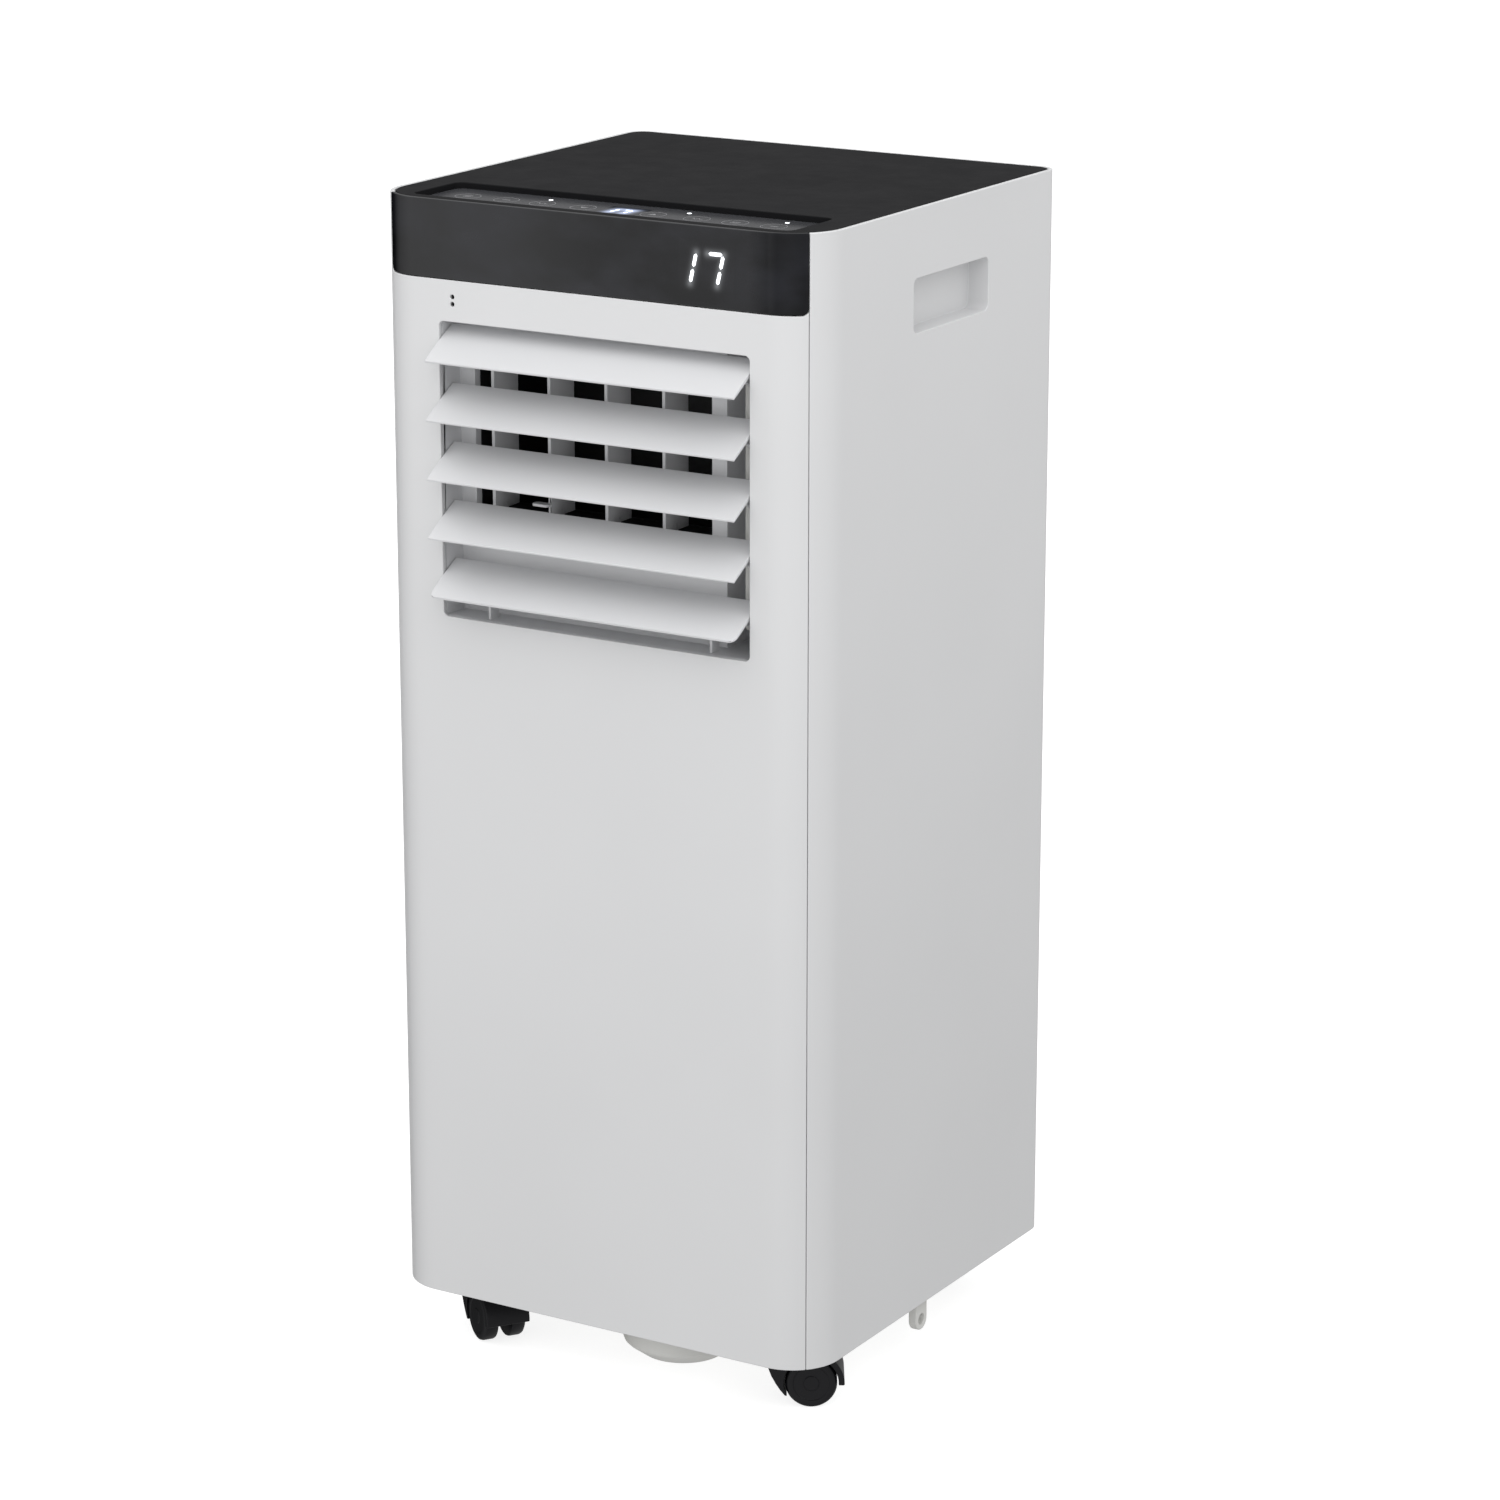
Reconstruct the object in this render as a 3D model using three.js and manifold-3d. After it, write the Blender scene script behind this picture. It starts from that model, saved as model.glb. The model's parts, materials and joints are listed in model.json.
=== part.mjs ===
// Portable air conditioner, 7,000 BTU/h class, on four twin-wheel casters.
// Millimetres, +Z up, the front faces -Y. The origin is on the floor, under the middle of the object.
import * as THREE from 'three';
import { mergeVertices } from 'three/addons/utils/BufferGeometryUtils.js';
import Module from 'manifold-3d';

const wasm = await Module();
wasm.setup();

// ---------- driving dimensions ----------
const WIDTH = 284;             // cabinet, side face to side face
const DEPTH = 275;             // cabinet, front face to rear face
const CABINET_HEIGHT = 640;    // lower edge of the panels to the top deck
const FLOOR_GAP = 36;          // floor to the lower edge of the panels
const WALL = 2.5;              // thickness of the cabinet panels
const GAP = 0.4;               // running gap between neighbouring pieces
const FRONT_RADIUS = 30;       // vertical corners at the front
const BACK_RADIUS = 12;        // vertical corners at the back
const ARC_STEPS = 6;           // half the facets of each arc of an outline

const LEFT = -WIDTH / 2;
const RIGHT = WIDTH / 2;
const FRONT = -DEPTH / 2;
const BACK = DEPTH / 2;
const TOP = FLOOR_GAP + CABINET_HEIGHT;
const BAND_HEIGHT = 43.5;      // black display band across the front
const BAND_BOTTOM = TOP - BAND_HEIGHT;
const BAND_ROUNDING = 4;       // lower corners of the band, where it ends at the splits

// air outlet in the front panel
const OUTLET = { left: -96.8, right: 101.8, top: TOP - 67, bottom: TOP - 233.6, radius: 3 };
const TUNNEL_WALL = 2;         // sheet of the outlet frame
const RIM_DEPTH = 20;          // front face to the nozzle rim
const NOZZLE = { left: -87.1, right: 66.4, top: TOP - 75, bottom: TOP - 176, lip: 5.5, back: 48 };
const BAY = { left: 75.9, top: TOP - 60, front: 10, back: 46 };  // linkage bay beside the nozzle
const RIBS = { x: [-70.1, 73.9], front: 6, back: 14, height: 9, thickness: 1.6 };   // on the tunnel floor
const SENSOR = { fromLeft: 9, below: [53.1, 57.2], radius: 1.4 };

// louvre vanes
const VANE_COUNT = 5;
const VANE_PITCH = 33.1;
const VANE_OPEN = THREE.MathUtils.degToRad(58.4);   // from closed to the modelled pose
const VANE_PIVOT = { depth: 5.4, below: 77.5 };     // first pivot: behind the front face, below the top
const VANE = { upper: 9.5, lower: 22.6, inner: -1.1, outer: -3.4, bow: 0.5, clearance: 0.5 };
const STUB_RADIUS = 1.5;
const STUB_REACH = 2.1;                              // of each pivot stub beyond the blade
const LUG_WIDTH = 2.5;
const LUG_RADIUS = 1.9;                              // stays behind the face of the blade
const CRANK_LENGTH = 21;                             // pivot to crank pin
const CRANK_ANGLE = THREE.MathUtils.degToRad(30);    // crank above level while the vanes are closed
const CRANK_X = { vane: 90.5, bar: 86.9, motor: 96, thickness: 3, pinEnd: 86.4 };
const MOTOR_PIVOT = { depth: 18, below: 160.25 };
const MOTOR = { radius: 12, length: 17, ear: 18 };

// direction fins behind the vanes
const FIN_X = [-75.75, -38.7, -1.6, 35.45];
const FIN = { thickness: 2, front: 20.5, back: 44.5, pivot: 32.5, pin: 23.5, notchBack: 27.7 };
const FIN_BAR_Z = TOP - 153.5;
const PIN_RADIUS = 1.3;
const PIN_REACH = 1.5;         // of each fin pin into the duct wall
const TABBED_FIN = 1;          // the second fin carries the finger tab
const TAB = { reach: 9.5, front: 4.5, root: 1, thickness: 1.6, below: 168.4, radius: 2 };

// top deck
const DECK_THICKNESS = 6;
const RECESS = { halfWidth: 121, front: 10, back: 57, depth: 3.4, film: 1.2 };

// hand recess in each side panel
const HANDLE = { front: FRONT + 106, back: FRONT + 191, top: TOP - 38.5, bottom: TOP - 68.5, depth: 13 };

// rear face
const REAR_HALF = 123.6;
const INTAKE = { halfWidth: 112, bottom: 405, top: 648 };
const LOWER_INTAKE = { halfWidth: 105, bottom: 66, top: 158 };
const EXHAUST = { z: 232, inner: 58, outer: 61, flange: 70 };
const DRAIN = { x: 92, z: 51, radius: 5 };
const GLAND = { x: -108, z: 50, bore: 3.6, radius: 6 };

// base and casters
const BASE = { bottom: FLOOR_GAP + 2.5, floor: FLOOR_GAP + 5.5, rim: FLOOR_GAP + 27.5, inset: 5, wall: 2.5 };
const WELL = { x: 14, y: FRONT + 82, radius: 62, bottom: FLOOR_GAP - 10 };
const SUMP = { x: 26, y: FRONT + 52.5, bottom: 10, foot: 26, radius: 35, shoulder: 19, top: 30, mouth: 16 };
const CASTER = { trail: 14, radius: 14.75, halfWidth: 13, web: 3.6 };
const HOOD = { inner: CASTER.radius + 0.8, outer: CASTER.radius + 4.2, halfWidth: CASTER.halfWidth + 0.4 };
const CASTERS = [
  { tag: 'front_left', x: -102, y: -97, turn: 55 },
  { tag: 'front_right', x: 102, y: -97, turn: 121 },
  { tag: 'back_left', x: -85, y: 97, turn: 12 },
  { tag: 'back_right', x: 85, y: 97, turn: -78 },
];
const TIE_LUG = {
  y: FRONT + 135.5, radius: 6.4, hole: 3.3, bottom: FLOOR_GAP - 20, outer: RIGHT - 4.9, thickness: 5.4,
};

// refrigerant circuit and electrics
const EVAPORATOR = { left: -122, right: 92, front: 50, back: 76, bottom: 345, top: 640, bends: 5 };
const CONDENSER = { left: -112, right: 106, front: 88, back: 116, bottom: 66, top: 166, bends: 3 };
const TRAY = { halfWidth: 128, front: 18, back: 112, bottom: 318, top: 340, wall: 2, drain: [-110, 100] };
const ACCUMULATOR_X = WELL.x + 82;
const CONTROL = { left: 106, right: 131, front: -8, back: 92, bottom: 425, top: 560, wall: 2 };
const SPLASHER = { x: -96, y: 69, z: 78, radius: 14, motorRadius: 18 };

// blowers
const UPPER_FAN = { x: 2.5, z: 400, radius: 70, scroll: 93.6, front: FRONT + NOZZLE.back + GAP, back: -15 };
const LOWER_FAN = { y: 58, z: EXHAUST.z, radius: 45, scroll: 56, halfWidth: 60 };

// ---------- materials ----------
function finish(color, roughness, metalness = 0) {
  return new THREE.MeshStandardMaterial({ color, roughness, metalness });
}

const WHITE = finish(0xdcddde, 0.5);
const VANE_WHITE = finish(0xd2d4d5, 0.45);
const BLACK_MATTE = finish(0x2d2d2f, 0.8);
const BLACK_GLOSS = finish(0x1c1c20, 0.15);
const FILM = finish(0x4a4a50, 0.25);
const WHEEL_BLACK = finish(0x17171b, 0.5);
const GREY = finish(0xb8babc, 0.6);
const DARK_GREY = finish(0x4c4e52, 0.7);
const STEEL = finish(0xa5a8ac, 0.4, 0.8);
const ALUMINIUM = finish(0xc6c9cc, 0.45, 0.9);
const COPPER = finish(0xb46e3c, 0.35, 1);
const PAINTED_BLACK = finish(0x1a1a1c, 0.45, 0.2);
const CIRCUIT_GREEN = finish(0x1f5a35, 0.6);
const RUBBER = finish(0x202022, 0.9);

// ---------- solids ----------
function toSolid(geometry) {
  const bare = geometry.clone();
  bare.deleteAttribute('normal');
  bare.deleteAttribute('uv');
  const merged = mergeVertices(bare, 1e-4);
  return new wasm.Manifold(new wasm.Mesh({
    numProp: 3,
    vertProperties: new Float32Array(merged.attributes.position.array),
    triVerts: new Uint32Array(merged.index.array),
  }));
}

function toGeometry(solid) {
  const { vertProperties, triVerts } = solid.getMesh();
  const geometry = new THREE.BufferGeometry();
  geometry.setAttribute('position', new THREE.BufferAttribute(new Float32Array(vertProperties), 3));
  geometry.setIndex(new THREE.BufferAttribute(new Uint32Array(triVerts), 1));
  return geometry;
}

function join(...solids) {
  return solids.reduce((sum, solid) => sum.add(solid));
}

function cut(solid, ...tools) {
  return tools.reduce((rest, tool) => rest.subtract(tool), solid);
}

function box(x0, x1, y0, y1, z0, z1) {
  const geometry = new THREE.BoxGeometry(x1 - x0, y1 - y0, z1 - z0);
  geometry.translate((x0 + x1) / 2, (y0 + y1) / 2, (z0 + z1) / 2);
  return toSolid(geometry);
}

// Cylinder along X, Y or Z from one end to the other; centre holds the two other coordinates in order.
function rod(axis, centre, radius, from, to, steps = 16) {
  const geometry = new THREE.CylinderGeometry(radius, radius, to - from, steps);
  const middle = (from + to) / 2;
  if (axis === 'x') {
    geometry.rotateZ(Math.PI / 2);
    geometry.translate(middle, centre[0], centre[1]);
  } else if (axis === 'y') {
    geometry.translate(centre[0], middle, centre[1]);
  } else {
    geometry.rotateX(Math.PI / 2);
    geometry.translate(centre[0], centre[1], middle);
  }
  return toSolid(geometry);
}

// Outline as plain points, without the doubled ones where its arcs and lines meet.
function sampled(shape, steps) {
  const points = shape.getPoints(steps);
  const distinct = points.filter((point, index) =>
    point.distanceTo(points[(index + 1) % points.length]) > 1e-3);
  return new THREE.Shape(distinct);
}

function extrude(shape, length, steps) {
  return new THREE.ExtrudeGeometry(sampled(shape, steps), { depth: length, bevelEnabled: false });
}

// Outline in X and Y, raised from z0 to z1.
function prismZ(shape, z0, z1, steps = ARC_STEPS) {
  const geometry = extrude(shape, z1 - z0, steps);
  geometry.translate(0, 0, z0);
  return toSolid(geometry);
}

// Outline in Y and Z, drawn along X.
function prismX(shape, x0, x1, steps = ARC_STEPS) {
  const geometry = extrude(shape, x1 - x0, steps);
  const turn = new THREE.Matrix4().makeBasis(
    new THREE.Vector3(0, 1, 0), new THREE.Vector3(0, 0, 1), new THREE.Vector3(1, 0, 0));
  geometry.applyMatrix4(turn);
  geometry.translate(x0, 0, 0);
  return toSolid(geometry);
}

// Outline in X and Z, drawn along Y.
function prismY(shape, y0, y1, steps = ARC_STEPS) {
  const geometry = extrude(shape, y1 - y0, steps);
  geometry.rotateX(Math.PI / 2);
  geometry.translate(0, y1, 0);
  return toSolid(geometry);
}

// Round piece about a vertical axis from pairs of radius and height.
function turned(profile, x, y, steps = 24) {
  const points = profile.map(([radius, height]) => new THREE.Vector2(radius, height));
  const geometry = new THREE.LatheGeometry(points, steps);
  geometry.rotateX(Math.PI / 2);
  geometry.translate(x, y, 0);
  return toSolid(geometry);
}

// Tube along a smooth curve through the given points.
function tube(points, radius, steps, sides = 8) {
  const path = new THREE.CatmullRomCurve3(points.map((point) => new THREE.Vector3(...point)));
  const ring = new THREE.Shape();
  ring.absarc(0, 0, radius, 0, Math.PI * 2);
  const section = sampled(ring, sides / 2);
  return toSolid(new THREE.ExtrudeGeometry(section, { steps, extrudePath: path }));
}

function roundedRect(x0, y0, x1, y1, radius) {
  const shape = new THREE.Shape();
  shape.moveTo(x0 + radius, y0);
  shape.lineTo(x1 - radius, y0);
  shape.absarc(x1 - radius, y0 + radius, radius, -Math.PI / 2, 0);
  shape.lineTo(x1, y1 - radius);
  shape.absarc(x1 - radius, y1 - radius, radius, 0, Math.PI / 2);
  shape.lineTo(x0 + radius, y1);
  shape.absarc(x0 + radius, y1 - radius, radius, Math.PI / 2, Math.PI);
  shape.lineTo(x0, y0 + radius);
  shape.absarc(x0 + radius, y0 + radius, radius, Math.PI, Math.PI * 1.5);
  return shape;
}

function polygon(points) {
  const shape = new THREE.Shape();
  points.forEach(([x, y], index) => (index ? shape.lineTo(x, y) : shape.moveTo(x, y)));
  return shape;
}

// Bar with round ends between two points of a plane.
function capsule([x0, y0], [x1, y1], radius) {
  const angle = Math.atan2(y1 - y0, x1 - x0);
  const shape = new THREE.Shape();
  shape.absarc(x0, y0, radius, angle + Math.PI / 2, angle + Math.PI * 1.5);
  shape.absarc(x1, y1, radius, angle - Math.PI / 2, angle + Math.PI / 2);
  return shape;
}

// ---------- cabinet outline ----------
function cabinetOutline(inset) {
  const x = RIGHT - inset;
  const front = FRONT + inset;
  const back = BACK - inset;
  const rf = FRONT_RADIUS - inset;
  const rb = Math.max(BACK_RADIUS - inset, 2);
  const shape = new THREE.Shape();
  shape.moveTo(-x + rf, front);
  shape.lineTo(x - rf, front);
  shape.absarc(x - rf, front + rf, rf, -Math.PI / 2, 0);
  shape.lineTo(x, back - rb);
  shape.absarc(x - rb, back - rb, rb, 0, Math.PI / 2);
  shape.lineTo(-x + rb, back);
  shape.absarc(-x + rb, back - rb, rb, Math.PI / 2, Math.PI);
  shape.lineTo(-x, front + rf);
  shape.absarc(-x + rf, front + rf, rf, Math.PI, Math.PI * 1.5);
  return shape;
}

function ring(outerInset, innerInset, z0, z1) {
  return cut(prismZ(cabinetOutline(outerInset), z0, z1), prismZ(cabinetOutline(innerInset), z0 - 1, z1 + 1));
}

const CORNER_X = RIGHT - FRONT_RADIUS;
const CORNER_Y = FRONT + FRONT_RADIUS;

// Everything in front of the two 45 degree splits, moved back by shift.
function frontWedge(shift, z0, z1) {
  const reach = FRONT_RADIUS * 2;
  return prismZ(polygon([
    [-CORNER_X, CORNER_Y + shift], [-CORNER_X - reach, CORNER_Y + shift - reach],
    [CORNER_X + reach, CORNER_Y + shift - reach], [CORNER_X, CORNER_Y + shift],
  ]), z0, z1);
}

// Slice of a front corner between two angles of its arc; side is 1 for the right corner, -1 for the left.
function cornerSlice(side, fromDegrees, toDegrees, z0, z1) {
  const reach = FRONT_RADIUS * 2;
  const edge = (degrees) => {
    const angle = THREE.MathUtils.degToRad(degrees);
    return [side * (CORNER_X + reach * Math.cos(angle)), CORNER_Y + reach * Math.sin(angle)];
  };
  const corners = [[side * CORNER_X, CORNER_Y], edge(fromDegrees), edge(toDegrees)];
  return prismZ(polygon(side > 0 ? corners : corners.reverse()), z0, z1);
}

// ---------- assembly ----------
const assembly = new THREE.Group();

function add(name, solid, material, parent = assembly) {
  const mesh = new THREE.Mesh(toGeometry(solid), material);
  mesh.name = name;
  parent.add(mesh);
  return mesh;
}

// ---------- cabinet panels ----------
// Sharp lower corner of the band at a split, less the rounding that the band keeps.
function splitCorner(side, rounding) {
  const reach = side > 0 ? [-BAND_ROUNDING, 0] : [0, BAND_ROUNDING];
  const corner = box(...reach, -FRONT_RADIUS - 1, -FRONT_RADIUS + WALL + 1,
    BAND_BOTTOM - GAP - 1, BAND_BOTTOM + BAND_ROUNDING);
  const centre = [-side * BAND_ROUNDING, BAND_BOTTOM + BAND_ROUNDING];
  const bore = rod('y', centre, rounding, -FRONT_RADIUS - 2, -FRONT_RADIUS + WALL + 2, 32);
  return cut(corner, bore).rotate([0, 0, side * 45]).translate([side * CORNER_X, CORNER_Y, 0]);
}

function makeFrontPanel() {
  const wedge = frontWedge(0, FLOOR_GAP - 1, TOP + 1);
  const shell = ring(0, WALL, FLOOR_GAP, BAND_BOTTOM - GAP);
  const ears = ring(0, WALL, BAND_BOTTOM - GAP - 1, BAND_BOTTOM + BAND_ROUNDING)
    .intersect(join(splitCorner(1, BAND_ROUNDING + GAP), splitCorner(-1, BAND_ROUNDING + GAP)));
  const { left, right, top, bottom, radius } = OUTLET;
  const mouth = prismY(roundedRect(left, bottom, right, top, radius), FRONT - 1, FRONT + 10, 3);
  const sensorHoles = SENSOR.below.map((below) =>
    rod('y', [left + SENSOR.fromLeft, TOP - below], SENSOR.radius, FRONT - 1, FRONT + 10, 8));
  return cut(join(shell, ears).intersect(wedge), mouth, ...sensorHoles);
}

function makeDisplayBand() {
  const band = ring(0, WALL, BAND_BOTTOM, TOP).intersect(frontWedge(0, BAND_BOTTOM - 1, TOP + 1));
  return cut(band, splitCorner(1, BAND_ROUNDING), splitCorner(-1, BAND_ROUNDING));
}

// Side panel from the front split round the rear corner, with its hand recess and a lip behind the split.
function makeSidePanel(side) {
  const half = side > 0 ? box(0, RIGHT + 1, FRONT - 1, BACK + 1, 0, TOP + 1)
    : box(LEFT - 1, 0, FRONT - 1, BACK + 1, 0, TOP + 1);
  const rear = box(-REAR_HALF - GAP, REAR_HALF + GAP, 0, BACK + 1, 0, TOP + 1);
  const wall = cut(ring(0, WALL, FLOOR_GAP, TOP).intersect(half), frontWedge(GAP, 0, TOP + 1), rear);
  const lipBottom = FLOOR_GAP + 4;
  const lipTop = TOP - 10;
  const lip = ring(WALL + 0.3, WALL + 1.8, lipBottom, lipTop)
    .intersect(cornerSlice(side, -58, -32, 0, TOP));
  const lipRoot = ring(WALL - 0.5, WALL + 1, lipBottom, lipTop)
    .intersect(cornerSlice(side, -43, -32, 0, TOP));
  const recess = (grow, from, to) => {
    const { front, back, top, bottom } = HANDLE;
    const outline = roundedRect(front - grow, bottom - grow, back + grow, top + grow, 4 + grow);
    const [x0, x1] = side > 0 ? [RIGHT - to, RIGHT - from] : [LEFT + from, LEFT + to];
    return prismX(outline, x0, x1, 3);
  };
  const cup = recess(2, 1, HANDLE.depth + 2.2);
  const hollow = recess(0, -1, HANDLE.depth);
  return cut(join(wall, lip, lipRoot, cup), hollow);
}

function makeRearPanel() {
  const plate = box(-REAR_HALF, REAR_HALF, BACK - WALL, BACK, FLOOR_GAP, TOP);
  const opening = ({ halfWidth, bottom, top }) =>
    box(-halfWidth, halfWidth, BACK - 10, BACK + 10, bottom, top);
  return cut(plate, opening(INTAKE), opening(LOWER_INTAKE),
    rod('y', [0, EXHAUST.z], EXHAUST.outer + GAP, BACK - 10, BACK + 10, 32),
    rod('y', [DRAIN.x, DRAIN.z], DRAIN.radius + 4, BACK - 10, BACK + 10),
    rod('y', [GLAND.x, GLAND.z], GLAND.radius + GAP, BACK - 10, BACK + 10));
}

// Deck with the sunk touch strip along its front.
function makeTopCover() {
  const deck = prismZ(cabinetOutline(WALL + GAP), TOP - DECK_THICKNESS, TOP);
  const { halfWidth, front, back, depth, film } = RECESS;
  const outline = roundedRect(-halfWidth, FRONT + front, halfWidth, FRONT + back, 6);
  return cut(deck, prismZ(outline, TOP - depth - film - 0.3, TOP + 1, 4));
}

function makeTouchPanel() {
  const { halfWidth, front, back, depth, film } = RECESS;
  const x = halfWidth - GAP;
  const outline = roundedRect(-x, FRONT + front + GAP, x, FRONT + back - GAP, 5.6);
  return prismZ(outline, TOP - depth - film, TOP - depth, 4);
}

// Framed grille of level slats with upright ribs behind them, in the plane of the rear face.
function makeGrille(halfWidth, bottom, top, pitch, ribs) {
  const inner = cut(box(-halfWidth, halfWidth, BACK - WALL, BACK, bottom, top),
    box(-halfWidth + 7, halfWidth - 7, BACK - 10, BACK + 10, bottom + 7, top - 7));
  const slats = [];
  for (let z = bottom + 7 + pitch; z < top - 10; z += pitch) {
    slats.push(box(-halfWidth + 5, halfWidth - 5, BACK - 2.1, BACK - 0.4, z - 2.5, z + 2.5));
  }
  for (const x of ribs) {
    slats.push(box(x - 1.5, x + 1.5, BACK - WALL, BACK - 1, bottom + 5, top - 5));
  }
  return join(inner, ...slats);
}

function makeAirFilter() {
  const { halfWidth, bottom, top } = INTAKE;
  const x = halfWidth - 4;
  const frame = cut(box(-x, x, BACK - 8.5, BACK - 3, bottom + 5, top - 4),
    box(-x + 8, x - 8, BACK - 20, BACK + 5, bottom + 13, top - 12));
  const mesh = box(-x + 4, x - 4, BACK - 6.5, BACK - 5.7, bottom + 9, top - 8);
  const bars = [-x / 3, x / 3].map((at) => box(at - 1.5, at + 1.5, BACK - 8, BACK - 6, bottom + 10, top - 9));
  return join(frame, mesh, ...bars);
}

// Round spigot for the exhaust hose; its reach matches how far the vanes stand out in front.
function makeExhaustCollar(reach) {
  const { inner, outer, flange, z } = EXHAUST;
  const profile = [[inner, -WALL], [outer, -WALL], [outer, GAP], [flange, GAP], [flange, 2.8],
    [outer + 0.8, 2.8], [outer + 0.8, reach], [inner, reach], [inner, -WALL]];
  const points = profile.map(([radius, along]) => new THREE.Vector2(radius, along));
  const geometry = new THREE.LatheGeometry(points, 24);
  geometry.translate(0, BACK, z);
  return toSolid(geometry);
}

// ---------- air outlet ----------
function pivotOf(index) {
  return { y: FRONT + VANE_PIVOT.depth, z: TOP - VANE_PIVOT.below - index * VANE_PITCH };
}

// Tunnel behind the opening, with the linkage bay at its right and the lip of the nozzle in its rear wall.
function makeOutletFrame() {
  const { left, right, top, bottom } = OUTLET;
  const wall = TUNNEL_WALL;
  const start = FRONT + WALL + GAP;
  const rim = FRONT + RIM_DEPTH;
  const lipBack = rim + NOZZLE.lip;
  const bayFront = FRONT + BAY.front;
  const bayBack = FRONT + BAY.back;
  const tunnel = box(left - wall, right + wall, start, rim + wall, bottom - wall, top + wall);
  const bay = box(BAY.left - wall, right + wall, bayFront - wall, bayBack + wall,
    bottom - wall, BAY.top + wall);
  const lip = box(NOZZLE.left - wall, NOZZLE.right + wall, rim, lipBack,
    NOZZLE.bottom - wall, NOZZLE.top + wall);
  const tunnelAir = box(left, right, start - 1, rim, bottom, top);
  const bayAir = box(BAY.left, right, bayFront, bayBack, bottom, BAY.top);
  const lipAir = box(NOZZLE.left, NOZZLE.right, rim - 1, lipBack + 1, NOZZLE.bottom, NOZZLE.top);
  const half = RIBS.thickness / 2;
  const ribs = RIBS.x.map((x) =>
    box(x - half, x + half, FRONT + RIBS.front, FRONT + RIBS.back, bottom - 1, bottom + RIBS.height));
  const bores = [];
  for (let index = 0; index < VANE_COUNT; index += 1) {
    const { y, z } = pivotOf(index);
    bores.push(rod('x', [y, z], STUB_RADIUS + 0.45, left - wall - 1, right + wall + 1, 8));
  }
  bores.push(rod('x', [FRONT + MOTOR_PIVOT.depth, TOP - MOTOR_PIVOT.below], 2.6, right - 1, right + 4, 12));
  const hollow = cut(join(tunnel, bay, lip), tunnelAir, bayAir, lipAir);
  return cut(join(hollow, ...ribs), ...bores);
}

// Square duct behind the lip of the nozzle, which carries the pins of the fins.
function makeNozzleDuct() {
  const { left, right, top, bottom, lip, back } = NOZZLE;
  const wall = TUNNEL_WALL;
  const front = FRONT + RIM_DEPTH + lip + GAP;
  const sleeve = box(left - wall, right + wall, front, FRONT + back, bottom - wall, top + wall);
  const air = box(left, right, front - 1, FRONT + back + 1, bottom, top);
  const bores = FIN_X.map((x) => rod('z', [x, FRONT + FIN.pivot], 1.7, bottom - 4, top + 4, 10));
  return cut(sleeve, air, ...bores);
}

// Place of the crank pin from its pivot while the vanes are closed.
const CRANK_PIN = [CRANK_LENGTH * Math.cos(CRANK_ANGLE), CRANK_LENGTH * Math.sin(CRANK_ANGLE)];

// Vane in its closed position, about its pivot: a bowed blade with two end lugs and a crank.
// The lowest vane has rounded lower corners, like the opening that it closes.
function makeVane(lowest) {
  const { upper, lower, inner, outer, bow, clearance } = VANE;
  const left = OUTLET.left + clearance;
  const right = OUTLET.right - clearance;
  const blade = new THREE.Shape();
  blade.moveTo(inner - 0.5, upper);
  blade.lineTo(outer + 0.6, upper - 0.3);
  blade.quadraticCurveTo(outer - bow, -lower / 3, outer + 0.6, -lower + 0.3);
  blade.lineTo(inner - 0.5, -lower);
  blade.quadraticCurveTo(inner, -lower / 3, inner - 0.5, upper);
  const lugShape = capsule([0, 0], [inner, 0], LUG_RADIUS);
  const arm = capsule([0, 0], CRANK_PIN, 2.8);
  const { vane, thickness, pinEnd } = CRANK_X;
  const full = prismX(blade, left, right, 4);
  const rounded = prismY(roundedRect(left, -lower, right, upper + 10, OUTLET.radius + 1), -10, 10, 2);
  return join(lowest ? full.intersect(rounded) : full,
    prismX(lugShape, left, left + LUG_WIDTH, 2),
    prismX(lugShape, right - LUG_WIDTH, right, 2),
    rod('x', [0, 0], STUB_RADIUS, left - STUB_REACH, right + STUB_REACH, 8),
    prismX(arm, vane, vane + thickness, 2),
    rod('x', CRANK_PIN, STUB_RADIUS, pinEnd, vane + 1, 8));
}

// Where a crank pin stands once the cranks have turned to the modelled pose.
function openPin() {
  const [y, z] = CRANK_PIN;
  const angle = -VANE_OPEN;
  return [y * Math.cos(angle) - z * Math.sin(angle), y * Math.sin(angle) + z * Math.cos(angle)];
}

// Upright bar that joins the five cranks, with a side arm for the motor's crank.
function makeVaneLinkBar() {
  const [pinY, pinZ] = openPin();
  const first = pivotOf(0);
  const last = pivotOf(VANE_COUNT - 1);
  const { bar, thickness } = CRANK_X;
  const motorPin = [FRONT + MOTOR_PIVOT.depth + pinY, TOP - MOTOR_PIVOT.below + pinZ];
  const spine = capsule([first.y + pinY, last.z + pinZ], [first.y + pinY, first.z + pinZ], 3.2);
  const arm = capsule([first.y + pinY, motorPin[1]], motorPin, 3.2);
  const bores = [rod('x', motorPin, STUB_RADIUS + 0.4, bar - 1, bar + thickness + 1, 8)];
  for (let index = 0; index < VANE_COUNT; index += 1) {
    const { y, z } = pivotOf(index);
    bores.push(rod('x', [y + pinY, z + pinZ], STUB_RADIUS + 0.4, bar - 1, bar + thickness + 1, 8));
  }
  const body = join(prismX(spine, bar, bar + thickness, 3), prismX(arm, bar, bar + thickness, 3));
  return cut(body, ...bores);
}

const SWING_SHAFT_END = OUTLET.right + 12;

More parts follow.
